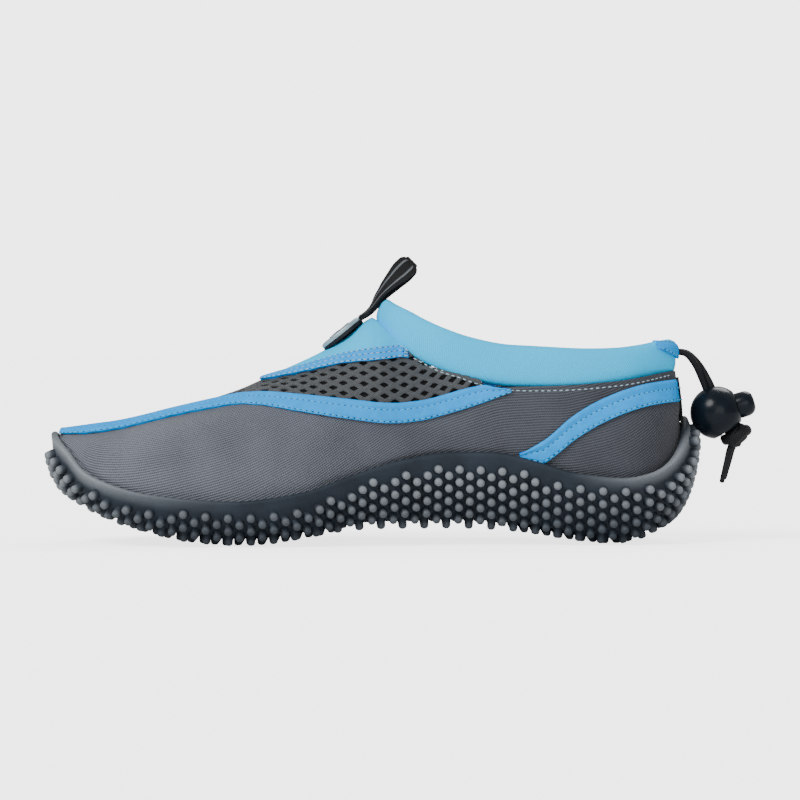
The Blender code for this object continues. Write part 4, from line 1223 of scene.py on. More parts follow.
@dataclass
class Sole:
    """Rubber cup with its wall and tread studs."""

    last: Last
    pitch: float = 4.86
    row: float = 4.75
    band: float = 4.6
    stud: Points = (
        (2.15, -0.7), (1.95, -0.05), (1.78, 0.4), (1.7, 1.3), (1.62, 2.35), (1.4, 3.0), (0.85, 3.4),
        (0, 3.52),
    )
    columns: int = 300
    toe_rise: float = 2.4
    rim: Points = ((0.3, 0.15), (1.0, 0.35), (1.8, 0.25), (2.35, -0.1))

    def build(self) -> None:
        """Makes the cup and both fields of studs."""
        self.cup()
        self.wall_studs()
        self.tread_studs()

    def ring(self, count: int) -> list[tuple[float, int]]:
        """Stations round the rim, evenly spaced along it."""
        fine = np.linspace(0, 1, 801)
        made: list[tuple[float, int]] = []
        for side in (-1, 1):
            run = run_along(self.last.plan(fine, side, 3.0))
            steps = np.linspace(0, run[-1], count // 2 + 1)
            stations = np.interp(steps, run, fine)[:-1]
            if side == 1:
                stations = 1 - np.interp(steps, run, 1 - fine[::-1])[:-1]
            made += [(float(s), side) for s in stations]
        return made

    def cup(self) -> None:
        """The wall, its rounded rim, the inside and the floor, from one long grid."""
        last = self.last
        ring = self.ring(self.columns)
        ring.append(ring[0])
        outer = np.linspace(0, 0.93, 14) * np.pi / 2
        rows = []
        for s, side in ring:
            face = last.wall(s, side, outer, 0.0)
            bulge = last.wall(s, side, np.pi / 2 * np.array([0.96, 0.99]), -0.15)
            tops = [last.wall(s, side, np.pi / 2, inset) for inset, _ in self.rim]
            for point, (_, rise) in zip(tops, self.rim):
                point[2] += rise
            start = float(last.floor_angle(np.array(s), side, last.floor))
            angles = np.linspace(np.pi / 2 * 0.97, start, 5)
            inside = last.wall(s, side, angles, last.wall_thick)
            column = np.vstack([face, bulge, np.array(tops), inside])
            share = np.clip((column[:, 2] - column[0, 2]) / (tops[0][2] - column[0, 2]), 0, 1)
            column[:, 2] += self.toe_rise * math.exp(-(s / 0.07) ** 2) * share ** 2
            rows.append(column)
        grid = Bench.grid("outsole_cup", np.array(rows))
        self.decks(grid)
        # The cup's tip marks hold dust and a painted highlight along the rim's top.
        layer = grid.data.attributes.new("tip", "FLOAT", "POINT")
        tone_and_painted_light = [self.rim_highlight_and_dust(vert.co / MM) for vert in grid.data.vertices]
        layer.data.foreach_set("value", np.array(tone_and_painted_light, np.float32))
        settle(grid, SOLE_RUBBER, Body.SHOE, "outsole", degrees=60)

    def rim_highlight_and_dust(self, at: Vector) -> float:
        """How pale the cup is painted at a point, as dust with a painted highlight along the rim's top: most
        at the toe's rim, then along the whole rim.
        """
        share = np.interp(at.x, (self.last.toe_x, self.last.heel_x), (0, 1))
        rim = float(self.last.rim_line(math.acos(1 - 2 * share) / math.pi))
        near = max(0.0, 1 - abs(rim - at.z) / 5.0)
        ends = max(0.0, (-50 - at.x) / 60) + max(0.0, (at.x - 75) / 45)
        return 0.01 + near * (0.01 + 1.1 * min(1.0, ends))

    def decks(self, grid: Piece) -> None:
        """Fills the cup's bottom and floor with strips across it."""
        bm = bmesh.new()
        bm.from_mesh(grid.data)
        bm.verts.ensure_lookup_table()
        laid = list(bm.verts)
        width = len(laid) // (self.columns + 1)
        half = self.columns // 2
        for column, rise in ((0, 0.0), (width - 1, self.last.floor)):
            edge = [laid[i * width + column] for i in range(self.columns)]
            rows = [[edge[0]] * 13]
            for i in range(1, half):
                first, final = edge[i], edge[self.columns - i]
                between = []
                for share in np.linspace(0, 1, 13)[1:-1]:
                    at = first.co.lerp(final.co, share)
                    at.z = float(self.last.sole_line(at.x / MM) + rise) * MM
                    between.append(bm.verts.new(at))
                rows.append([first] + between + [final])
            rows.append([edge[half]] * 13)
            for row, following in zip(rows, rows[1:]):
                for j in range(12):
                    corners = list(dict.fromkeys((row[j], row[j + 1], following[j + 1], following[j])))
                    if len(corners) > 2:
                        bm.faces.new(corners)
        bmesh.ops.remove_doubles(bm, verts=bm.verts, dist=0.00001)
        bmesh.ops.recalc_face_normals(bm, faces=bm.faces)
        bm.to_mesh(grid.data)
        bm.free()

    def stud_pattern(self) -> tuple[Piece, np.ndarray]:
        """One stud, with a mark from 0 at its root to 1 at its tip."""
        stud = Bench.turned("stud", self.stud, 10)
        height = np.array([v.co.z for v in stud.data.vertices])
        return stud, np.clip((height - 1.0) / 1.9, 0, 1)

    def wall_studs(self) -> None:
        """Staggered studs up the wall, stopping short of the smooth rim."""
        last = self.last
        ring = self.ring(2 * round(640 / self.pitch / 2))
        angle = np.linspace(0, np.pi / 2, 90)
        at, up, forward = [], [], []
        for k, (s, side) in enumerate(ring):
            line = last.wall(s, side, angle)
            run = run_along(line)
            here = 0.9 + self.row * (0.5 if k % 2 else 0.0)
            while here < run[-1] - self.band:
                a = float(np.interp(here, run, angle))
                step = 0.01
                point = last.wall(s, side, a)
                rise = last.wall(s, side, a + step) - last.wall(s, side, a - step)
                run_on = last.wall(min(s + step, 1), side, a) - last.wall(max(s - step, 0), side, a)
                normal = np.cross(unit(run_on), unit(rise)) * -side
                at.append(point)
                up.append(normal)
                forward.append(rise)
                here += self.row
        pattern, marks = self.stud_pattern()
        frames = Bench.frames(np.array(at), np.array(forward), np.array(up))
        piece = Bench.copies("outsole_wall_studs", pattern, frames, marks)
        settle(piece, SOLE_RUBBER, Body.SHOE)

    def tread_studs(self) -> None:
        """Staggered studs under the sole, lowest under the ball and the heel."""
        last = self.last
        at, up = [], []
        stations = np.linspace(0, 1, 401)
        edges = {side: last.wall(stations, side, 0.0) for side in (-1, 1)}
        column = 0
        x = -108.0
        while x < 110:
            low = np.interp(x, edges[-1][:, 0], edges[-1][:, 1])
            high = np.interp(x, edges[1][:, 0], edges[1][:, 1])
            y = -46 + self.row * (0.5 if column % 2 else 0)
            while y < 48:
                if low + 2.0 < y < high - 2.0:
                    z = float(last.sole_line(x))
                    slope = float(last.sole_line(x + 1) - last.sole_line(x - 1)) / 2
                    at.append((x, y, z))
                    up.append((slope, 0, -1))
                y += self.row
            x += self.pitch * 0.9
            column += 1
        at = np.array(at)
        shorten = np.interp(at[:, 0], (-18, -4, 44, 56), (1, 0.2, 0.2, 1))
        pattern, marks = self.stud_pattern()
        frames = Bench.frames(at, np.tile([0.0, 1, 0], (len(at), 1)), np.array(up))
        frames[:, :3, 2] *= shorten[:, None]
        piece = Bench.copies("outsole_tread_studs", pattern, frames, marks)
        ground = np.array([v.co.z for v in piece.data.vertices])
        for vert in piece.data.vertices:
            vert.co.z = max(vert.co.z, 0.0)
        LOG.info("lowest stud tip before flattening: %.2f mm", ground.min() / MM)
        settle(piece, SOLE_RUBBER, Body.SHOE)


@dataclass
class Stitching:
    """Rows of stitches: a short bead of thread between two needle holes."""

    pitch: float = 2.3
    length: float = 1.55
    thick: float = 0.27
    hole: float = 0.34

    def run(self, name: str, lines: list[tuple[np.ndarray, np.ndarray]], finish: Finish,
            holes: Finish | None = None) -> None:
        """Sews along some lines.

        Args:
            name: Name of the piece.
            lines: For each line its points and the outward direction at each.
            finish: The thread.
            holes: Finish of the needle holes between the stitches, whose dark colour is painted shade inside
                each hole, or none for a seam without them.
        """
        at, forward, up = [], [], []
        for points, normals in lines:
            run = run_along(points)
            count = int(run[-1] / self.pitch)
            if count < 1:
                continue
            middle = (np.arange(count) + 0.5) * run[-1] / count

            def read(values: np.ndarray, where: np.ndarray) -> np.ndarray:
                return np.stack([np.interp(where, run, values[:, k]) for k in range(3)], axis=1)

            at.append(read(points, middle))
            forward.append(read(points, middle + 0.5) - at[-1] + 1e-6)
            up.append(read(normals, middle))
        at, forward, up = np.vstack(at), unit(np.vstack(forward)), unit(np.vstack(up))
        bead = self.drop("stitch", (self.length / 2, self.thick, self.thick))
        settle(Bench.copies(name, bead, Bench.frames(at, forward, up)), finish, Body.SHOE)
        if holes is None:
            return
        # Each needle hole is a dark dot: painted shade inside the hole.
        dot = self.drop("painted_hole_shade", (self.hole, self.hole * 0.8, 0.12))
        at = at + forward * self.pitch / 2 - up * 0.02
        settle(Bench.copies(name + "_holes", dot, Bench.frames(at, forward, up)), holes, Body.SHOE)

    def drop(self, name: str, reach: tuple[float, float, float]) -> Piece:
        """A small oval pattern, by its reach along each axis."""
        Bench.clear()
        bpy.ops.mesh.primitive_uv_sphere_add(segments=8, ring_count=6, radius=1)
        made = Bench.named(name)
        made.data.transform(Matrix.Diagonal((*reach, 1)))
        return made


def facing(piece: Piece) -> float:
    """Above zero where most faces of a sheet look away from the middle of the foot."""
    mesh = piece.data
    centre = np.empty(len(mesh.polygons) * 3)
    normal = np.empty(len(mesh.polygons) * 3)
    mesh.polygons.foreach_get("center", centre)
    mesh.polygons.foreach_get("normal", normal)
    centre, normal = centre.reshape(-1, 3), normal.reshape(-1, 3)
    spine = centre * 0 + [0, 0, 0.03]
    spine[:, 0] = np.clip(centre[:, 0], -0.09, 0.09)
    return float(np.sum((centre - spine) * normal))


def thicken(piece: Piece, thick: float) -> None:
    """Gives a sheet its thickness, inwards."""
    if facing(piece) < 0:
        piece.data.flip_normals()
    Bench.modify(piece, "SOLIDIFY", thickness=thick * MM, offset=-1.0, use_even_offset=False)


@dataclass
class Panel:
    """A sheet of the upper between two seams of one side."""

    last: Last
    side: Side
    thick: float
    rows: int
    columns: int

    def lay(self, name: str, span: tuple[float, float], low: Callable, high: Callable,
            lift: Callable, extra: Callable | None = None) -> Piece:
        """Lays the sheet.

        Args:
            name: Name of the piece.
            span: First and last station.
            low: Lower seam's t at each station.
            high: Upper seam's t at each station.
            lift: Height over the last by share across and by station.
            extra: More places below the lower seam, as t values.

        Returns:
            The piece, with its thickness.
        """
        s = np.linspace(*span, self.rows)
        share = np.linspace(0, 1, self.columns)
        t = low(s)[:, None] + (high(s) - low(s))[:, None] * share[None, :]
        heights = lift(np.broadcast_to(share, t.shape), np.broadcast_to(s[:, None], t.shape))
        if extra is not None:
            tucked = extra(s)
            t = np.hstack([tucked, t])
            heights = np.hstack([np.zeros(tucked.shape), heights])
        stations = np.broadcast_to(s[:, None], t.shape)
        points = self.last.at(self.side, stations, t, heights)
        length = np.array([np.interp(row, self.last.t, self.last.row(self.side, at)[1])
                           for row, at in zip(t, s)])
        uv = np.stack([np.broadcast_to(points[:, -1:, 0], t.shape), length], axis=-1)
        piece = Bench.grid(name, points, uv)
        thicken(piece, self.thick)
        return piece


@dataclass
class Upper:
    """Neoprene quarters, mesh, tongue and the trim sewn over their seams."""

    last: Last
    seams: Seams = Seams()
    neoprene: float = 2.4
    trim_lift: float = 0.45
    trim_thick: float = 1.0
    heel_width: float = 8.6
    cell_width: float = 7.4
    cell_step: float = 2.25
    cell_corners: int = 12
    cell_rings: Points = ((0.30, 0.32, 0.06), (0.262, 0.27, -0.10), (0.245, 0.25, -0.75))
    cell_edge: float = -0.10
    backing_lift: float = -0.85
    lining_lift: float = -2.9
    sheet_thick: float = 0.6

    def build(self) -> None:
        """Makes both sides, then what crosses the ridge."""
        for side in Side:
            self.quarter(side)
            self.side_band(side)
            self.tongue_band(side)
            self.heel_band(side)
            self.net(side)
        self.tongue()
        self.vamp_front()
        self.lining()
        self.heel_tape()
        self.insole()

    def band_low(self, side: Side) -> Callable:
        """Lower edge of the side band."""
        return lambda s: self.last.level(side, s, self.seams.band_foot)

    def band_high(self, side: Side) -> Callable:
        """Upper edge of the side band, under the collar at its rear."""
        def edge(s: np.ndarray) -> np.ndarray:
            x = self.last.top_x(s)
            high = self.last.walk(side, s, self.band_low(side)(s), self.seams.band_width(x))
            return np.minimum(np.minimum(high, 0.985), self.collar_seam(side)(s))
        return edge

    def collar_seam(self, side: Side) -> Callable:
        """Seam under the collar."""
        return lambda s: self.last.level(side, s, self.seams.collar)

    def band_middle(self, side: Side) -> Callable:
        """Seam hidden under the side band, then the collar seam behind it."""
        def edge(s: np.ndarray) -> np.ndarray:
            x = self.last.top_x(s)
            middle = self.last.walk(side, s, self.band_low(side)(s), self.seams.band_width(x) / 2)
            return np.minimum(middle, self.collar_seam(side)(s))
        return edge

    def quarter(self, side: Side) -> None:
        """Grey neoprene side, tucked down inside the sole's wall."""
        last = self.last

        def lift(share: np.ndarray, s: np.ndarray) -> np.ndarray:
            x = last.top_x(s)
            soft = 0.22 * np.sin(x / 9 + 4 * share) * np.sin(share * 7 + x / 23)
            pinch = -0.7 * np.exp(-((x - 112) / 5) ** 2) * np.exp(-((share - 0.12) / 0.1) ** 2)
            roll = -0.5 * np.exp(-share / 0.03)
            return soft * np.clip(share * 8, 0, 1) + pinch + roll

        panel = Panel(last, side, self.neoprene, 200, 30)

        def high(s: np.ndarray) -> np.ndarray:
            x = last.top_x(s)
            return self.band_middle(side)(s) + 0.004 + 0.026 * np.clip((x - 44) / 10, 0, 1)

        piece = panel.lay("quarter_" + side.label, (0.004, 0.996), lambda s: 0 * s + 0.001, high, lift,
                          lambda s: np.tile(np.linspace(-1, -0.08, 5), (len(s), 1)))
        settle(piece, GREY_KNIT, Body.SHOE, "quarter_" + side.label, degrees=50)

    def trim(self, name: str, side: Side, span: tuple[float, float], low: Callable, high: Callable,
             rows: int, stitches: tuple[float, ...], thread: Finish, roll: float) -> None:
        """A stitched trim band, which stands for the plain solid of its name.

        Args:
            name: Name of the piece.
            side: Side of the foot.
            span: First and last station.
            low: Its lower edge.
            high: Its upper edge.
            rows: How many points it has along it.
            stitches: Share across the band of each stitch row.
            thread: Finish of the stitches.
            roll: How far the folded upper edge stands up.
        """
        base = self.trim_lift + self.trim_thick
        ends = [self.last.top_x(s) for s in span]

        def lift(share: np.ndarray, s: np.ndarray) -> np.ndarray:
            height = base + roll * np.exp(-((share - 0.86) / 0.13) ** 2)
            for at in stitches:
                height = height - 0.34 * np.exp(-((share - at) / 0.05) ** 2)
            edge = np.minimum(share, 1 - share)
            height = height - 0.45 * np.exp(-edge / 0.035)
            x = self.last.top_x(s)
            height = height + 0.1 * np.sin(x / 1.15) * np.exp(-((share - stitches[0]) / 0.12) ** 2)
            return height * np.clip(0.15 + (ends[1] - x) / 3.0, 0.15, 1)

        panel = Panel(self.last, side, self.trim_thick, rows, 25)
        piece = panel.lay(name, span, low, high, lift)
        settle(piece, SKY_TRIM, Body.SHOE, name, degrees=60)
        lines = []
        s = np.linspace(*span, rows)
        for at in stitches:
            t = low(s) + (high(s) - low(s)) * at
            points = self.last.at(side, s, t, base - 0.3)
            lines.append((points, self.last.at(side, s, t, base + 1) - points))
        Stitching().run(name + "_stitches", lines, thread, NEEDLE_HOLE_SHADE)

    def side_band(self, side: Side) -> None:
        """Trim from the toe along the seam of the quarter to the collar."""
        def low(s: np.ndarray) -> np.ndarray:
            return np.minimum(self.band_low(side)(s), self.collar_seam(side)(s) - 0.006)

        span = (self.last.station(-119.6), self.last.station(51))
        self.trim("side_band_" + side.label, side, span, low, self.band_high(side), 240, (0.07, 0.64),
                  SKY_THREAD, 0.35)

    def tongue_band(self, side: Side) -> None:
        """Trim along the tongue's edge."""
        last = self.last

        def middle(s: np.ndarray) -> np.ndarray:
            return last.level(side, s, self.seams.tongue_edge)

        def low(s: np.ndarray) -> np.ndarray:
            return np.minimum(last.walk(side, s, middle(s), -2.6), self.collar_seam(side)(s) - 0.004)

        def high(s: np.ndarray) -> np.ndarray:
            top = np.minimum(last.walk(side, s, middle(s), 3.0), 0.99)
            return np.minimum(top, self.collar_seam(side)(s) + 0.004)

        span = (last.station(-43.2), last.station(12.5))
        self.trim("tongue_band_" + side.label, side, span, low, high, 110, (0.08, 0.5, 0.9),
                  WHITE_THREAD, 0.0)

    def heel_band(self, side: Side) -> None:
        """Trim from the heel's back down to the sole's rim."""
        last = self.last

        def high(s: np.ndarray) -> np.ndarray:
            return np.maximum(last.level(side, s, self.seams.heel_band), 0.016)

        def low(s: np.ndarray) -> np.ndarray:
            return np.maximum(last.walk(side, s, high(s), -self.heel_width), 0.004)

        span = (last.station(51), 0.99)
        self.trim("heel_band_" + side.label, side, span, low, high, 120, (0.08, 0.6), SKY_THREAD, 0.55)

    def tongue(self) -> None:
        """Cyan tongue, from its point up to the collar, over the ridge."""
        last = self.last
        s = np.concatenate([np.linspace(last.station(-43.6), last.station(-1.2), 70),
                            np.linspace(last.station(-0.9), last.station(12), 24)])
        rows = []
        for station in s:
            halves = []
            for side in Side:
                low = float(last.level(side, station, self.seams.tongue_edge)[0])
                low = float(last.walk(side, station, low, -1.2)[0])
                high = min(1.0, float(last.level(side, station, self.seams.collar)[0]) + 0.05)
                t = np.linspace(low, max(high, low + 0.01), 16)
                halves.append(last.at(side, station, t, 0.25))
            rows.append(over_ridge(*halves))
        piece = Bench.grid("tongue_panel", np.array(rows))
        thicken(piece, self.neoprene)
        settle(piece, CYAN_KNIT, Body.SHOE, "tongue_panel", degrees=60)

    def net_cell(self) -> Piece:
        """One cell of the spacer mesh: a hexagon with an oval hole rolled over its edge."""
        Bench.clear()
        corners = self.cell_corners
        bpy.ops.mesh.primitive_circle_add(vertices=corners, radius=1, fill_type="NOTHING")
        cell = Bench.named("net_cell")
        bm = bmesh.new()
        angles = [2 * math.pi * (k + 0.5) / corners for k in range(corners)]
        reach = [self.hexagon(a) for a in angles]
        rings = [[bm.verts.new((r * math.cos(a), r * math.sin(a), self.cell_edge))
                  for r, a in zip(reach, angles)]]
        for wide, tall, height in self.cell_rings:
            rings.append([bm.verts.new((wide * self.cell_width * math.cos(a),
                                        tall * 2 * self.cell_step * math.sin(a) * 0.92, height))
                          for a in angles])
        for outer, inner in zip(rings, rings[1:]):
            for k in range(corners):
                following = (k + 1) % corners
                bm.faces.new((outer[k], outer[following], inner[following], inner[k]))
        bm.to_mesh(cell.data)
        bm.free()
        return cell

    def hexagon(self, angle: float) -> float:
        """Distance from a cell's middle to its edge in one direction."""
        wide, tall = self.cell_width, self.cell_step
        x, y = abs(math.cos(angle)), abs(math.sin(angle))
        flat = wide / 2 / max(x, 1e-6)
        slanted = tall * 4 / 3 / max(y + x * 2 * tall / 3 / (wide / 2), 1e-6)
        return min(flat, slanted)

    def lay_cells(self, name: str, centres: list[tuple[float, float]],
                  surface: Callable[[np.ndarray, np.ndarray, np.ndarray], np.ndarray]) -> None:
        """Maps cells onto a surface given by two flat coordinates and a height."""
        frames = np.tile(np.eye(4), (len(centres), 1, 1))
        frames[:, :2, 3] = np.array(centres)
        piece = Bench.copies(name, self.net_cell(), frames)
        co = read_points(piece.data) / MM
        write_map(piece.data, co[:, :2])
        write_points(piece.data, surface(*co.T) * MM)
        with Bench.editing(piece):
            bpy.ops.mesh.remove_doubles(threshold=0.00012)
        if facing(piece) < 0:
            piece.data.flip_normals()
        settle(piece, NET_YARN, Body.SHOE, name, degrees=70)

    def inner_sheet(self, name: str, stations: np.ndarray, lift: float) -> Piece:
        """A thin sheet under the mesh, over the ridge from one side band to the other."""
        rows = []
        for station in stations:
            lows = [float(self.band_middle(side)(station)[0]) for side in Side]
            rows.append(over_ridge(*(self.last.at(side, station, np.linspace(low, 1, 9), lift)
                                     for side, low in zip(Side, lows))))
        piece = Bench.grid(name, np.array(rows))
        thicken(piece, self.sheet_thick)
        return piece

    def net(self, side: Side) -> None:
        """Open mesh between the side band, the tongue and the collar."""
        last = self.last
        wide, tall = self.cell_width, self.cell_step
        low = self.band_middle(side)
        fine = np.linspace(last.station(-60), last.station(44), 240)
        place = last.top_x(fine)
        foot = low(fine)

        def measured(line: np.ndarray) -> np.ndarray:
            return np.array([np.interp(t, last.t, last.row(side, s)[1]) for s, t in zip(fine, line)])

        foot_run = measured(foot)
        tongue = last.level(side, fine, self.seams.tongue_edge)
        top = np.where(place < 14, np.minimum(tongue, 1), 1)
        top = np.minimum(top, self.collar_seam(side)(fine))
        top_run = measured(top)

        def surface(x: np.ndarray, w: np.ndarray, h: np.ndarray) -> np.ndarray:
            s = np.interp(x, place, fine)
            start = np.interp(x, place, foot_run)
            t = np.array([np.interp(a + b, last.row(side, c)[1], last.t)
                          for a, b, c in zip(start, w, s)])
            return last.at(side, s, t, h)

        centres = []
        row = -1
        while row * tall < 34:
            x = -60.0 + (wide / 2 if row % 2 else 0)
            while x < 44:
                w = row * tall
                limit = np.interp(x, place, top_run - foot_run)
                if -1.5 < w < limit + (1.2 if x < 16 else -0.9) and -47 < x < 38 and limit > 0.8:
                    centres.append((x, w))
                x += wide
            row += 1
        self.lay_cells("vamp_mesh_" + side.label, centres, surface)
        # Near-black backing under the cells: painted shade seen through the holes.
        panel = Panel(last, side, self.sheet_thick, 80, 14)
        back = panel.lay("vamp_mesh_back_" + side.label, (last.station(-46), last.station(44)),
                         lambda s: low(s) + 0.004,
                         lambda s: np.maximum(np.interp(s, fine, top), low(s) + 0.01),
                         lambda share, s: 0 * share + self.backing_lift)
        settle(back, NET_SHADE_BACKING, Body.SHOE, degrees=60)

    def vamp_front(self) -> None:
        """Open mesh over the ridge of the toes, between the two side bands."""
        last = self.last
        wide, tall = self.cell_width, self.cell_step
        fine = np.linspace(last.station(-119.8), last.station(-43.5), 200)
        place = last.top_x(fine)
        reach = {}
        for side in Side:
            low = self.band_middle(side)(fine)
            run = [np.interp([t, 1.0], last.t, last.row(side, s)[1]) for s, t in zip(fine, low)]
            reach[side] = np.array(run)

        def surface(x: np.ndarray, w: np.ndarray, h: np.ndarray) -> np.ndarray:
            s = np.interp(x, place, fine)
            made = np.zeros((len(x), 3))
            for side in Side:
                chosen = (w <= 0) if side is Side.MEDIAL else (w > 0)
                full = np.interp(x, place, reach[side][:, 1])
                lengths = full - np.abs(w)
                t = np.array([np.interp(a, last.row(side, c)[1], last.t) for a, c in zip(lengths, s)])
                made[chosen] = last.at(side, s, t, h)[chosen]
            return made

        centres = []
        for row in range(-14, 15):
            x = -121.0 + (wide / 2 if row % 2 else 0)
            while x < -43:
                side = Side.MEDIAL if row <= 0 else Side.LATERAL
                half = np.interp(x, place, reach[side][:, 1] - reach[side][:, 0])
                if abs(row * tall) < half + 1.2 and x > -118:
                    centres.append((x, row * tall))
                x += wide
        self.lay_cells("vamp_mesh_front", centres, surface)
        # Near-black backing under the cells: painted shade seen through the holes.
        stations = np.linspace(last.station(-119.4), last.station(-43), 90)
        back = self.inner_sheet("vamp_mesh_back_front", stations, self.backing_lift)
        settle(back, NET_SHADE_BACKING, Body.SHOE, degrees=60)

    def lining(self) -> None:
        """Thin lining inside the forefoot."""
        stations = np.linspace(self.last.station(-110), self.last.station(-4), 70)
        piece = self.inner_sheet("vamp_lining", stations, self.lining_lift)
        settle(piece, LINING_KNIT, Body.SHOE, "vamp_lining", degrees=60)

    def heel_tape(self) -> None:
        """Dark binding down the heel's back."""
        last = self.last
        stations = np.array([0.968, 0.976, 0.984, 0.992, 0.9965])
        rows = [np.vstack([last.at(Side.MEDIAL, stations, at, 0.5),
                           last.at(Side.LATERAL, stations[::-1], at, 0.5)])
                for at in np.linspace(0.03, 0.52, 26)]
        piece = Bench.grid("heel_back_tape", np.array(rows))
        thicken(piece, 0.8)
        Bench.place(piece, Matrix.Translation((0.0006, 0, 0)))
        settle(piece, TAPE, Body.SHOE, "heel_back_tape", degrees=60)

    def insole(self) -> None:
        """Footbed, gently dished, inside the cup; the board under it keeps its plain shape."""
        last = self.last
        s = np.linspace(0.02, 0.98, 90)
        share = np.linspace(0, 1, 25)
        inset = last.wall_thick + last.gap + self.neoprene + 0.9
        rows = []
        for station in s:
            edges = [last.wall(station, side.value,
                               last.floor_angle(np.array(station), side.value, last.floor + 2.0), inset)
                     for side in Side]
            line = edges[0][None] * (1 - share[:, None]) + edges[1][None] * share[:, None]
            dish = 1.1 * (2 * share - 1) ** 4
            line[:, 2] = last.sole_line(line[:, 0]) + last.floor + 4.6 + dish
            rows.append(line)
        piece = Bench.grid("footbed", np.array(rows))
        if piece.data.polygons[400].normal.z < 0:
            piece.data.flip_normals()
        Bench.modify(piece, "SOLIDIFY", thickness=2.6 * MM, offset=-1.0)
        settle(piece, INSOLE_KNIT, Body.SHOE, "footbed", degrees=50)
        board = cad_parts["lasting_board"]
        board.data.materials.clear()
        board.data.materials.append(BOARD.material())


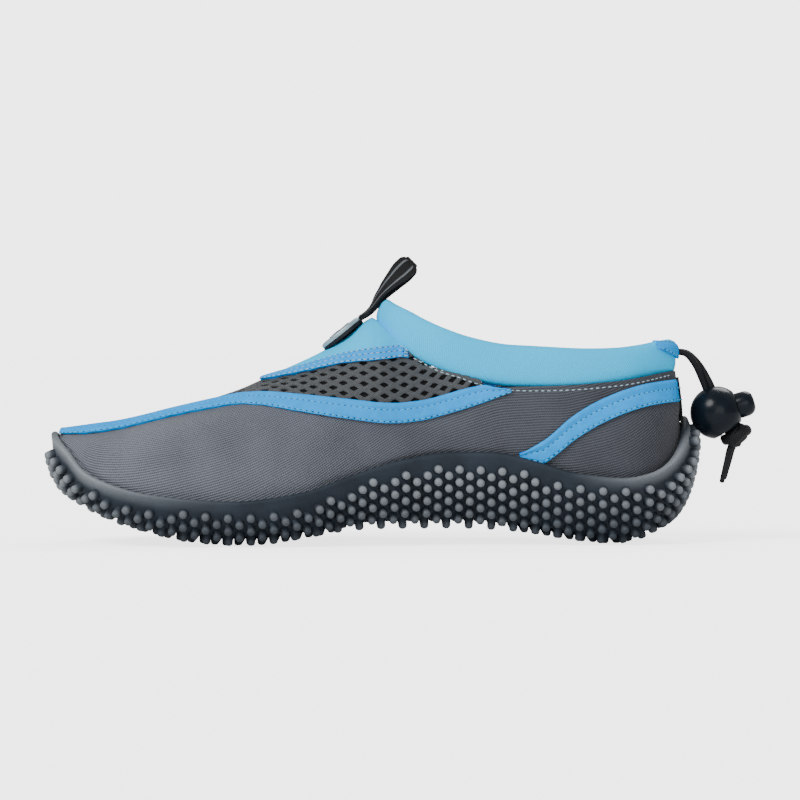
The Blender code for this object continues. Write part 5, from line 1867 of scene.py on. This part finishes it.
@dataclass
class Collar:
    """Padded roll round the foot opening, the cord inside it and its end patch."""

    last: Last
    path: Points = (
        (4.2, 0, 88.6), (6.4, 7.2, 86.4), (10.8, 13.6, 82.8), (17.6, 18.4, 78.6), (25.7, 21.4, 74.8),
        (36, 23.4, 71.2), (48.6, 24.2, 68.4), (60, 24.3, 67.5), (72, 24.0, 67.1), (84, 22.6, 67.1),
        (95, 19.4, 67.8), (103.5, 14.6, 69.1), (109.6, 9.6, 70.3), (113.2, 5.2, 70.9), (114.5, 1.2, 71.2),
    )
    height: Curve = Curve(((4, 5.0), (12, 7.2), (26, 7.7), (60, 7.9), (84, 7.2), (105, 6.6), (113, 6.9)))
    lean: Curve = Curve(((4, 0.32), (14, 0.3), (30, 0.12), (60, 0), (113, 0)))
    thick: float = 2.7
    centre_y: float = 0.5
    patch_centre: tuple[float, float] = (100.2, 0.5)
    patch_reach: float = 16.9
    patch_half: float = 56.0
    eyelets: tuple[float, float] = (-0.9, 2.9)
    most_swell: float = 1.6

    def build(self) -> None:
        """Makes the roll, its seam and its patch."""
        self.roll()
        self.hidden_cord()
        self.patch()
        self.seam()

    def route(self, per_span: int) -> np.ndarray:
        """Middle of the roll, from the heel's inner end round the front to the outer end."""
        half = np.array(self.path, float)
        inner = half[::-1] * [1, -1, 1]
        return smoothed(np.vstack([inner, half[1:]]) + [0, self.centre_y, 0], per_span)

    def roll(self) -> None:
        """The padded roll: swept, then swollen by a cloth simulation."""
        route = self.route(6)
        ahead = unit(np.gradient(route, axis=0))
        up = np.stack([self.lean(route[:, 0]), 0 * route[:, 0], 0 * route[:, 0] + 1], axis=1)
        up = unit(up - ahead * np.sum(up * ahead, axis=1, keepdims=True))
        out = np.cross(ahead, up)
        angle = np.linspace(0, 2 * np.pi, 29)
        tall = np.sign(np.cos(angle)) * np.abs(np.cos(angle)) ** 0.85
        wide = np.sign(np.sin(angle)) * np.abs(np.sin(angle)) ** 0.8
        drop = np.exp(-(((angle - np.pi) / 0.5) ** 2))
        size = self.height(route[:, 0])[:, None, None]
        rows = route[:, None] + up[:, None] * size * tall[None, :, None]
        rows = rows + out[:, None] * (self.thick * wide)[None, :, None]
        rows = rows + out[:, None] * (drop * 0.6)[None, :, None]
        uv = np.stack(np.meshgrid(run_along(route), angle * 5.2, indexing="ij"), axis=-1)
        piece = Bench.grid("collar", rows, uv)
        Bench.close_ends(piece)
        self.swell(piece)
        Bench.modify(piece, "SUBSURF", levels=1, render_levels=1)
        settle(piece, CYAN_KNIT, Body.SHOE, "collar", degrees=70)

    def swell(self, piece: Piece) -> None:
        """Blows the roll up a little as cloth, held along its seam."""
        rest = read_points(piece.data)
        route = self.route(2) * MM
        nearest = np.array([route[np.argmin(np.sum((route - p) ** 2, axis=1))] for p in rest])
        low = np.clip((nearest[:, 2] - rest[:, 2]) / MM - 4.2, 0, 1)
        pins = piece.vertex_groups.new(name="seam")
        for index in np.nonzero(low > 0.3)[0]:
            pins.add([int(index)], 1.0, "REPLACE")
        Bench.only(piece)
        bpy.ops.object.modifier_add(type="CLOTH")
        cloth = piece.modifiers[-1]
        settings = {"quality": 6, "mass": 0.2, "tension_stiffness": 30, "compression_stiffness": 30,
                    "bending_stiffness": 4, "use_pressure": True, "uniform_pressure_force": 2.5,
                    "vertex_group_mass": "seam"}
        for key, value in settings.items():
            setattr(cloth.settings, key, value)
        cloth.settings.effector_weights.gravity = 0
        cloth.collision_settings.use_collision = False
        scene = bpy.context.scene
        for step in range(1, 21):
            scene.frame_set(step)
        graph = bpy.context.evaluated_depsgraph_get()
        shift = read_points(piece.evaluated_get(graph).to_mesh()) - rest
        size = np.linalg.norm(shift, axis=1, keepdims=True)
        shift = shift * np.minimum(1, self.most_swell * MM / np.maximum(size, 1e-9))
        piece.evaluated_get(graph).to_mesh_clear()
        piece.modifiers.remove(cloth)
        scene.frame_set(1)
        write_points(piece.data, rest + shift)
        LOG.info("collar swelled by up to %.2f mm", float(size.max()) / MM)

    def hidden_cord(self) -> None:
        """The cord inside the roll keeps its plain solid and gets the braid."""
        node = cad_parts["collar_drawcord"]
        node.data.materials.clear()
        node.data.materials.append(BRAID.material())

    def patch_line(self, share: float, angle: np.ndarray) -> tuple[np.ndarray, np.ndarray]:
        """One line round the patch, and its outward direction.

        Args:
            share: Place up the patch, from 0 at its slanting lower edge to 1 at its top.
            angle: Directions from the heel's centre, in radians.

        Returns:
            The points and the directions.
        """
        away = np.abs(angle) / math.radians(self.patch_half)
        low = 70.3 + 4.4 * away**1.5
        high = np.full_like(low, 77.5)
        z = low + (high - low) * share
        over = np.clip((z - 74.2) / 3.3, 0, 1)
        reach = self.patch_reach + 1.3 - 2.6 * over**2 - 0.5 * np.clip((72.2 - z) / 2, 0, 1) ** 2
        facing = np.stack([np.cos(angle), np.sin(angle), 0 * angle + 0.9 * over], axis=1)
        flat = np.stack([np.cos(angle), np.sin(angle), 0 * angle], axis=1)
        line = flat * reach[:, None] + [*self.patch_centre, 0]
        line[:, 2] = z
        return line, facing

    def patch(self) -> None:
        """Cap over the ends of the roll, with an eyelet for each strand."""
        angle = np.radians(np.linspace(-self.patch_half, self.patch_half, 45))
        rows = [self.patch_line(share, angle)[0] for share in np.linspace(0, 1, 21)]
        piece = Bench.grid("collar_end_patch", np.array(rows))
        thicken(piece, 1.0)
        for y in self.eyelets:
            Bench.clear()
            bpy.ops.mesh.primitive_cylinder_add(vertices=28, radius=1.6 * MM, depth=8 * MM,
                                                location=(0.118, y * MM, 0.0732),
                                                rotation=(0, math.pi / 2, 0))
            cutter = Bench.named("eyelet")
            bpy.ops.object.transform_apply(location=True, rotation=True, scale=True)
            Bench.cut(piece, cutter)
        settle(piece, SKY_TRIM, Body.SHOE, "collar_end_patch", degrees=50)
        lines = [self.patch_line(share, angle) for share in (0.1, 0.93)]
        Stitching().run("collar_end_patch_stitches", lines, SKY_THREAD, NEEDLE_HOLE_SHADE)

    def seam(self) -> None:
        """White stitches along the foot of the roll."""
        lines = []
        for side in Side:
            s = np.linspace(self.last.station(14), self.last.station(113), 160)
            t = self.last.level(side, s, Seams().collar) - 0.012
            points = self.last.at(side, s, t, 0.1)
            lines.append((points, self.last.at(side, s, t, 1.1) - points))
        Stitching().run("collar_seam_stitches", lines, WHITE_THREAD)


@dataclass
class PullLoop:
    """Folded webbing loop at the collar's front, with two reflective stripes."""

    spine: Points = (
        (-5.4, 86.0), (-2.0, 88.2), (0.2, 90.6), (2.4, 94.0), (5.8, 98.2), (9.6, 102.4), (12.6, 105.6),
        (14.6, 107.6),
    )
    width: Curve = Curve((
        (0, 4.6), (0.3, 3.9), (0.45, 4.4), (0.62, 6.6), (0.8, 8.6), (0.9, 8.4), (0.96, 7.0), (1, 4.8),
    ))
    thick: float = 0.8
    centre_y: float = -0.9
    turn: Curve = Curve(((0, 4), (0.3, 24), (0.42, 40), (0.65, 62), (0.85, 76), (1, 80)))
    spread: Curve = Curve(((0, 0.5), (0.3, 0.55), (0.6, 1.2), (0.85, 1.4), (0.95, 1.0), (1, 0.0)))

    def strip(self, across: np.ndarray, rise: float) -> np.ndarray:
        """Points of the folded strip: up its near layer, round the fold and down its far layer.

        Args:
            across: Places across the webbing, from -0.5 to 0.5.
            rise: Height over the strip's middle surface.

        Returns:
            Points by row along the webbing and column across it.
        """
        spine = smoothed(np.array([(x, self.centre_y, z) for x, z in self.spine]), 8)
        u = np.linspace(0, 1, len(spine))
        ahead = unit(np.gradient(spine, axis=0))
        plane = np.stack([-ahead[:, 2], 0 * u, ahead[:, 0]], axis=1)
        lean = np.radians(self.turn(u))[:, None]
        wide = np.cos(lean) * np.array([0, 1.0, 0]) + np.sin(lean) * plane
        facing = np.cross(wide, ahead)
        rows = []
        for layer in (1, -1):
            order = range(len(spine)) if layer == 1 else range(len(spine) - 2, -1, -1)
            for k in order:
                gap = layer * (self.spread(u[k]) + rise)
                tip = 0.6 * math.sqrt(max(0.0, 1 - (abs(gap) / 1.6) ** 2)) if u[k] == 1 else 0
                size = float(self.width(u[k]))
                middle = spine[k] + facing[k] * gap + ahead[k] * tip
                rows.append(middle + wide[k] * (across * size)[:, None])
        return np.array(rows)

    def build(self) -> None:
        """Makes the webbing, its stripes and the sewn root."""
        across = np.linspace(-0.5, 0.5, 15)
        piece = Bench.grid("pull_loop", self.strip(across, 0.0))
        Bench.modify(piece, "SOLIDIFY", thickness=self.thick * MM, offset=0.0)
        settle(piece, WEBBING, None, "pull_loop", degrees=60)
        self.bend(piece)
        stripes = []
        for low, high in ((-0.29, -0.19), (0.19, 0.29)):
            band = Bench.grid("stripe", self.strip(np.linspace(low, high, 5), self.thick / 2 + 0.06))
            Bench.modify(band, "SOLIDIFY", thickness=0.12 * MM, offset=0.0)
            stripes.append(band)
        stripe = Bench.join("pull_loop_stripes", stripes)
        settle(stripe, STRIPE, None, degrees=60)
        self.bend(stripe)
        self.root()

    def bend(self, piece: Piece) -> None:
        """Bakes a strip's placement into its mesh, with the object left at the origin."""
        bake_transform(piece)

    def root(self) -> None:
        """Bar-tacked root of the webbing on the tongue."""
        route = smoothed(((-6.6, 0, 83.4), (-4.4, 0, 86.0), (-2.2, 0, 88.0), (-0.9, 0, 89.6)), 5)
        across = np.linspace(-0.5, 0.5, 11)
        rows = [[(x, self.centre_y + 7.2 * v, z - 0.9 * v**2) for v in across] for x, _, z in route]
        piece = Bench.grid("pull_loop_base", np.array(rows))
        Bench.modify(piece, "SOLIDIFY", thickness=0.9 * MM, offset=0.0)
        settle(piece, WEBBING, Body.SHOE, "pull_loop_base", degrees=60)


@dataclass
class Badge:
    """Oval badge on the tongue, with a plain wave as its emblem."""

    start: tuple[float, float] = (-18.8, 73.9)
    end: tuple[float, float] = (-4.6, 85.2)
    half_width: float = 6.4
    offset_y: float = -2.2
    tip: float = -9.0

    def drop(self, y: float | np.ndarray) -> float | np.ndarray:
        """How far the badge curves down over the tongue's ridge."""
        return 0.019 * y**2

    def stand(self) -> Matrix:
        """Place of the badge: its own X runs up the tongue and its Z away from it."""
        start, end = Vector((self.start[0], 0, self.start[1])), Vector((self.end[0], 0, self.end[1]))
        along = (end - start).normalized()
        up = Vector((-along.z, 0, along.x))
        turn = Matrix((along, up.cross(along), up)).transposed().to_4x4()
        middle = (start + end) / 2 + Vector((0, self.offset_y, 0))
        tip = Matrix.Rotation(math.radians(self.tip), 4, "X")
        return Matrix.Scale(MM, 4) @ Matrix.Translation(middle) @ turn @ tip

    def layer(self, name: str, profile: Points, scale: float, finish: Finish) -> None:
        """One oval layer, turned from a profile, stretched and curved over the ridge."""
        piece = Bench.turned(name, profile, 48)
        length = (Vector(self.end) - Vector(self.start)).length / 2
        Bench.place(piece, Matrix.Diagonal((length * scale, self.half_width * scale, 1, 1)))
        for vert in piece.data.vertices:
            vert.co.z -= self.drop(vert.co.y)
        Bench.place(piece, self.stand())
        settle(piece, finish, Body.SHOE, name, degrees=35)

    def build(self) -> None:
        """Backing, plate with a rolled rim, and emblem."""
        self.layer("badge_backing", ((0, -1.0), (0.96, -1.0), (1.0, -0.8), (1.0, 0.1), (0.97, 0.25),
                                     (0, 0.25)), 1.02, BADGE_BLACK)
        self.layer("badge_plate", ((0, 0.3), (0.96, 0.3), (1.0, 0.55), (1.0, 1.5), (0.97, 1.95), (0.92, 2.1),
                                   (0.86, 2.05), (0.82, 1.75), (0.78, 1.7), (0.5, 1.95), (0, 2.0)),
                   1.0, BADGE_SILVER)
        self.wave()

    def wave(self) -> None:
        """Raised emblem: three parallel waves."""
        strips = []
        for shift in (-2.2, 0.0, 2.2):
            x = np.linspace(-4.6, 4.6, 33)
            y = shift + 0.7 * np.sin(x * 1.15)
            path = np.stack([x, y, 2.05 - self.drop(y)], axis=1)
            strips.append(Bench.tube("wave", path, 0.42, 10))
        emblem = Bench.join("badge_emblem", strips)
        Bench.place(emblem, self.stand() @ Matrix.Scale(1 / MM, 4))
        settle(emblem, BADGE_BLACK, Body.SHOE, "badge_emblem", degrees=60)


def main() -> None:
    """Builds the shoe, sub-assembly by sub-assembly."""
    logging.basicConfig(level=logging.INFO, format="%(message)s")
    Studio().build()
    cords = Drawcord()
    cords.build()
    lock = CordLock()
    lock.build()
    last = Last()
    Sole(last).build()
    Upper(last).build()
    Collar(last).build()
    PullLoop().build()
    Badge().build()


if __name__ == "__main__":
    main()
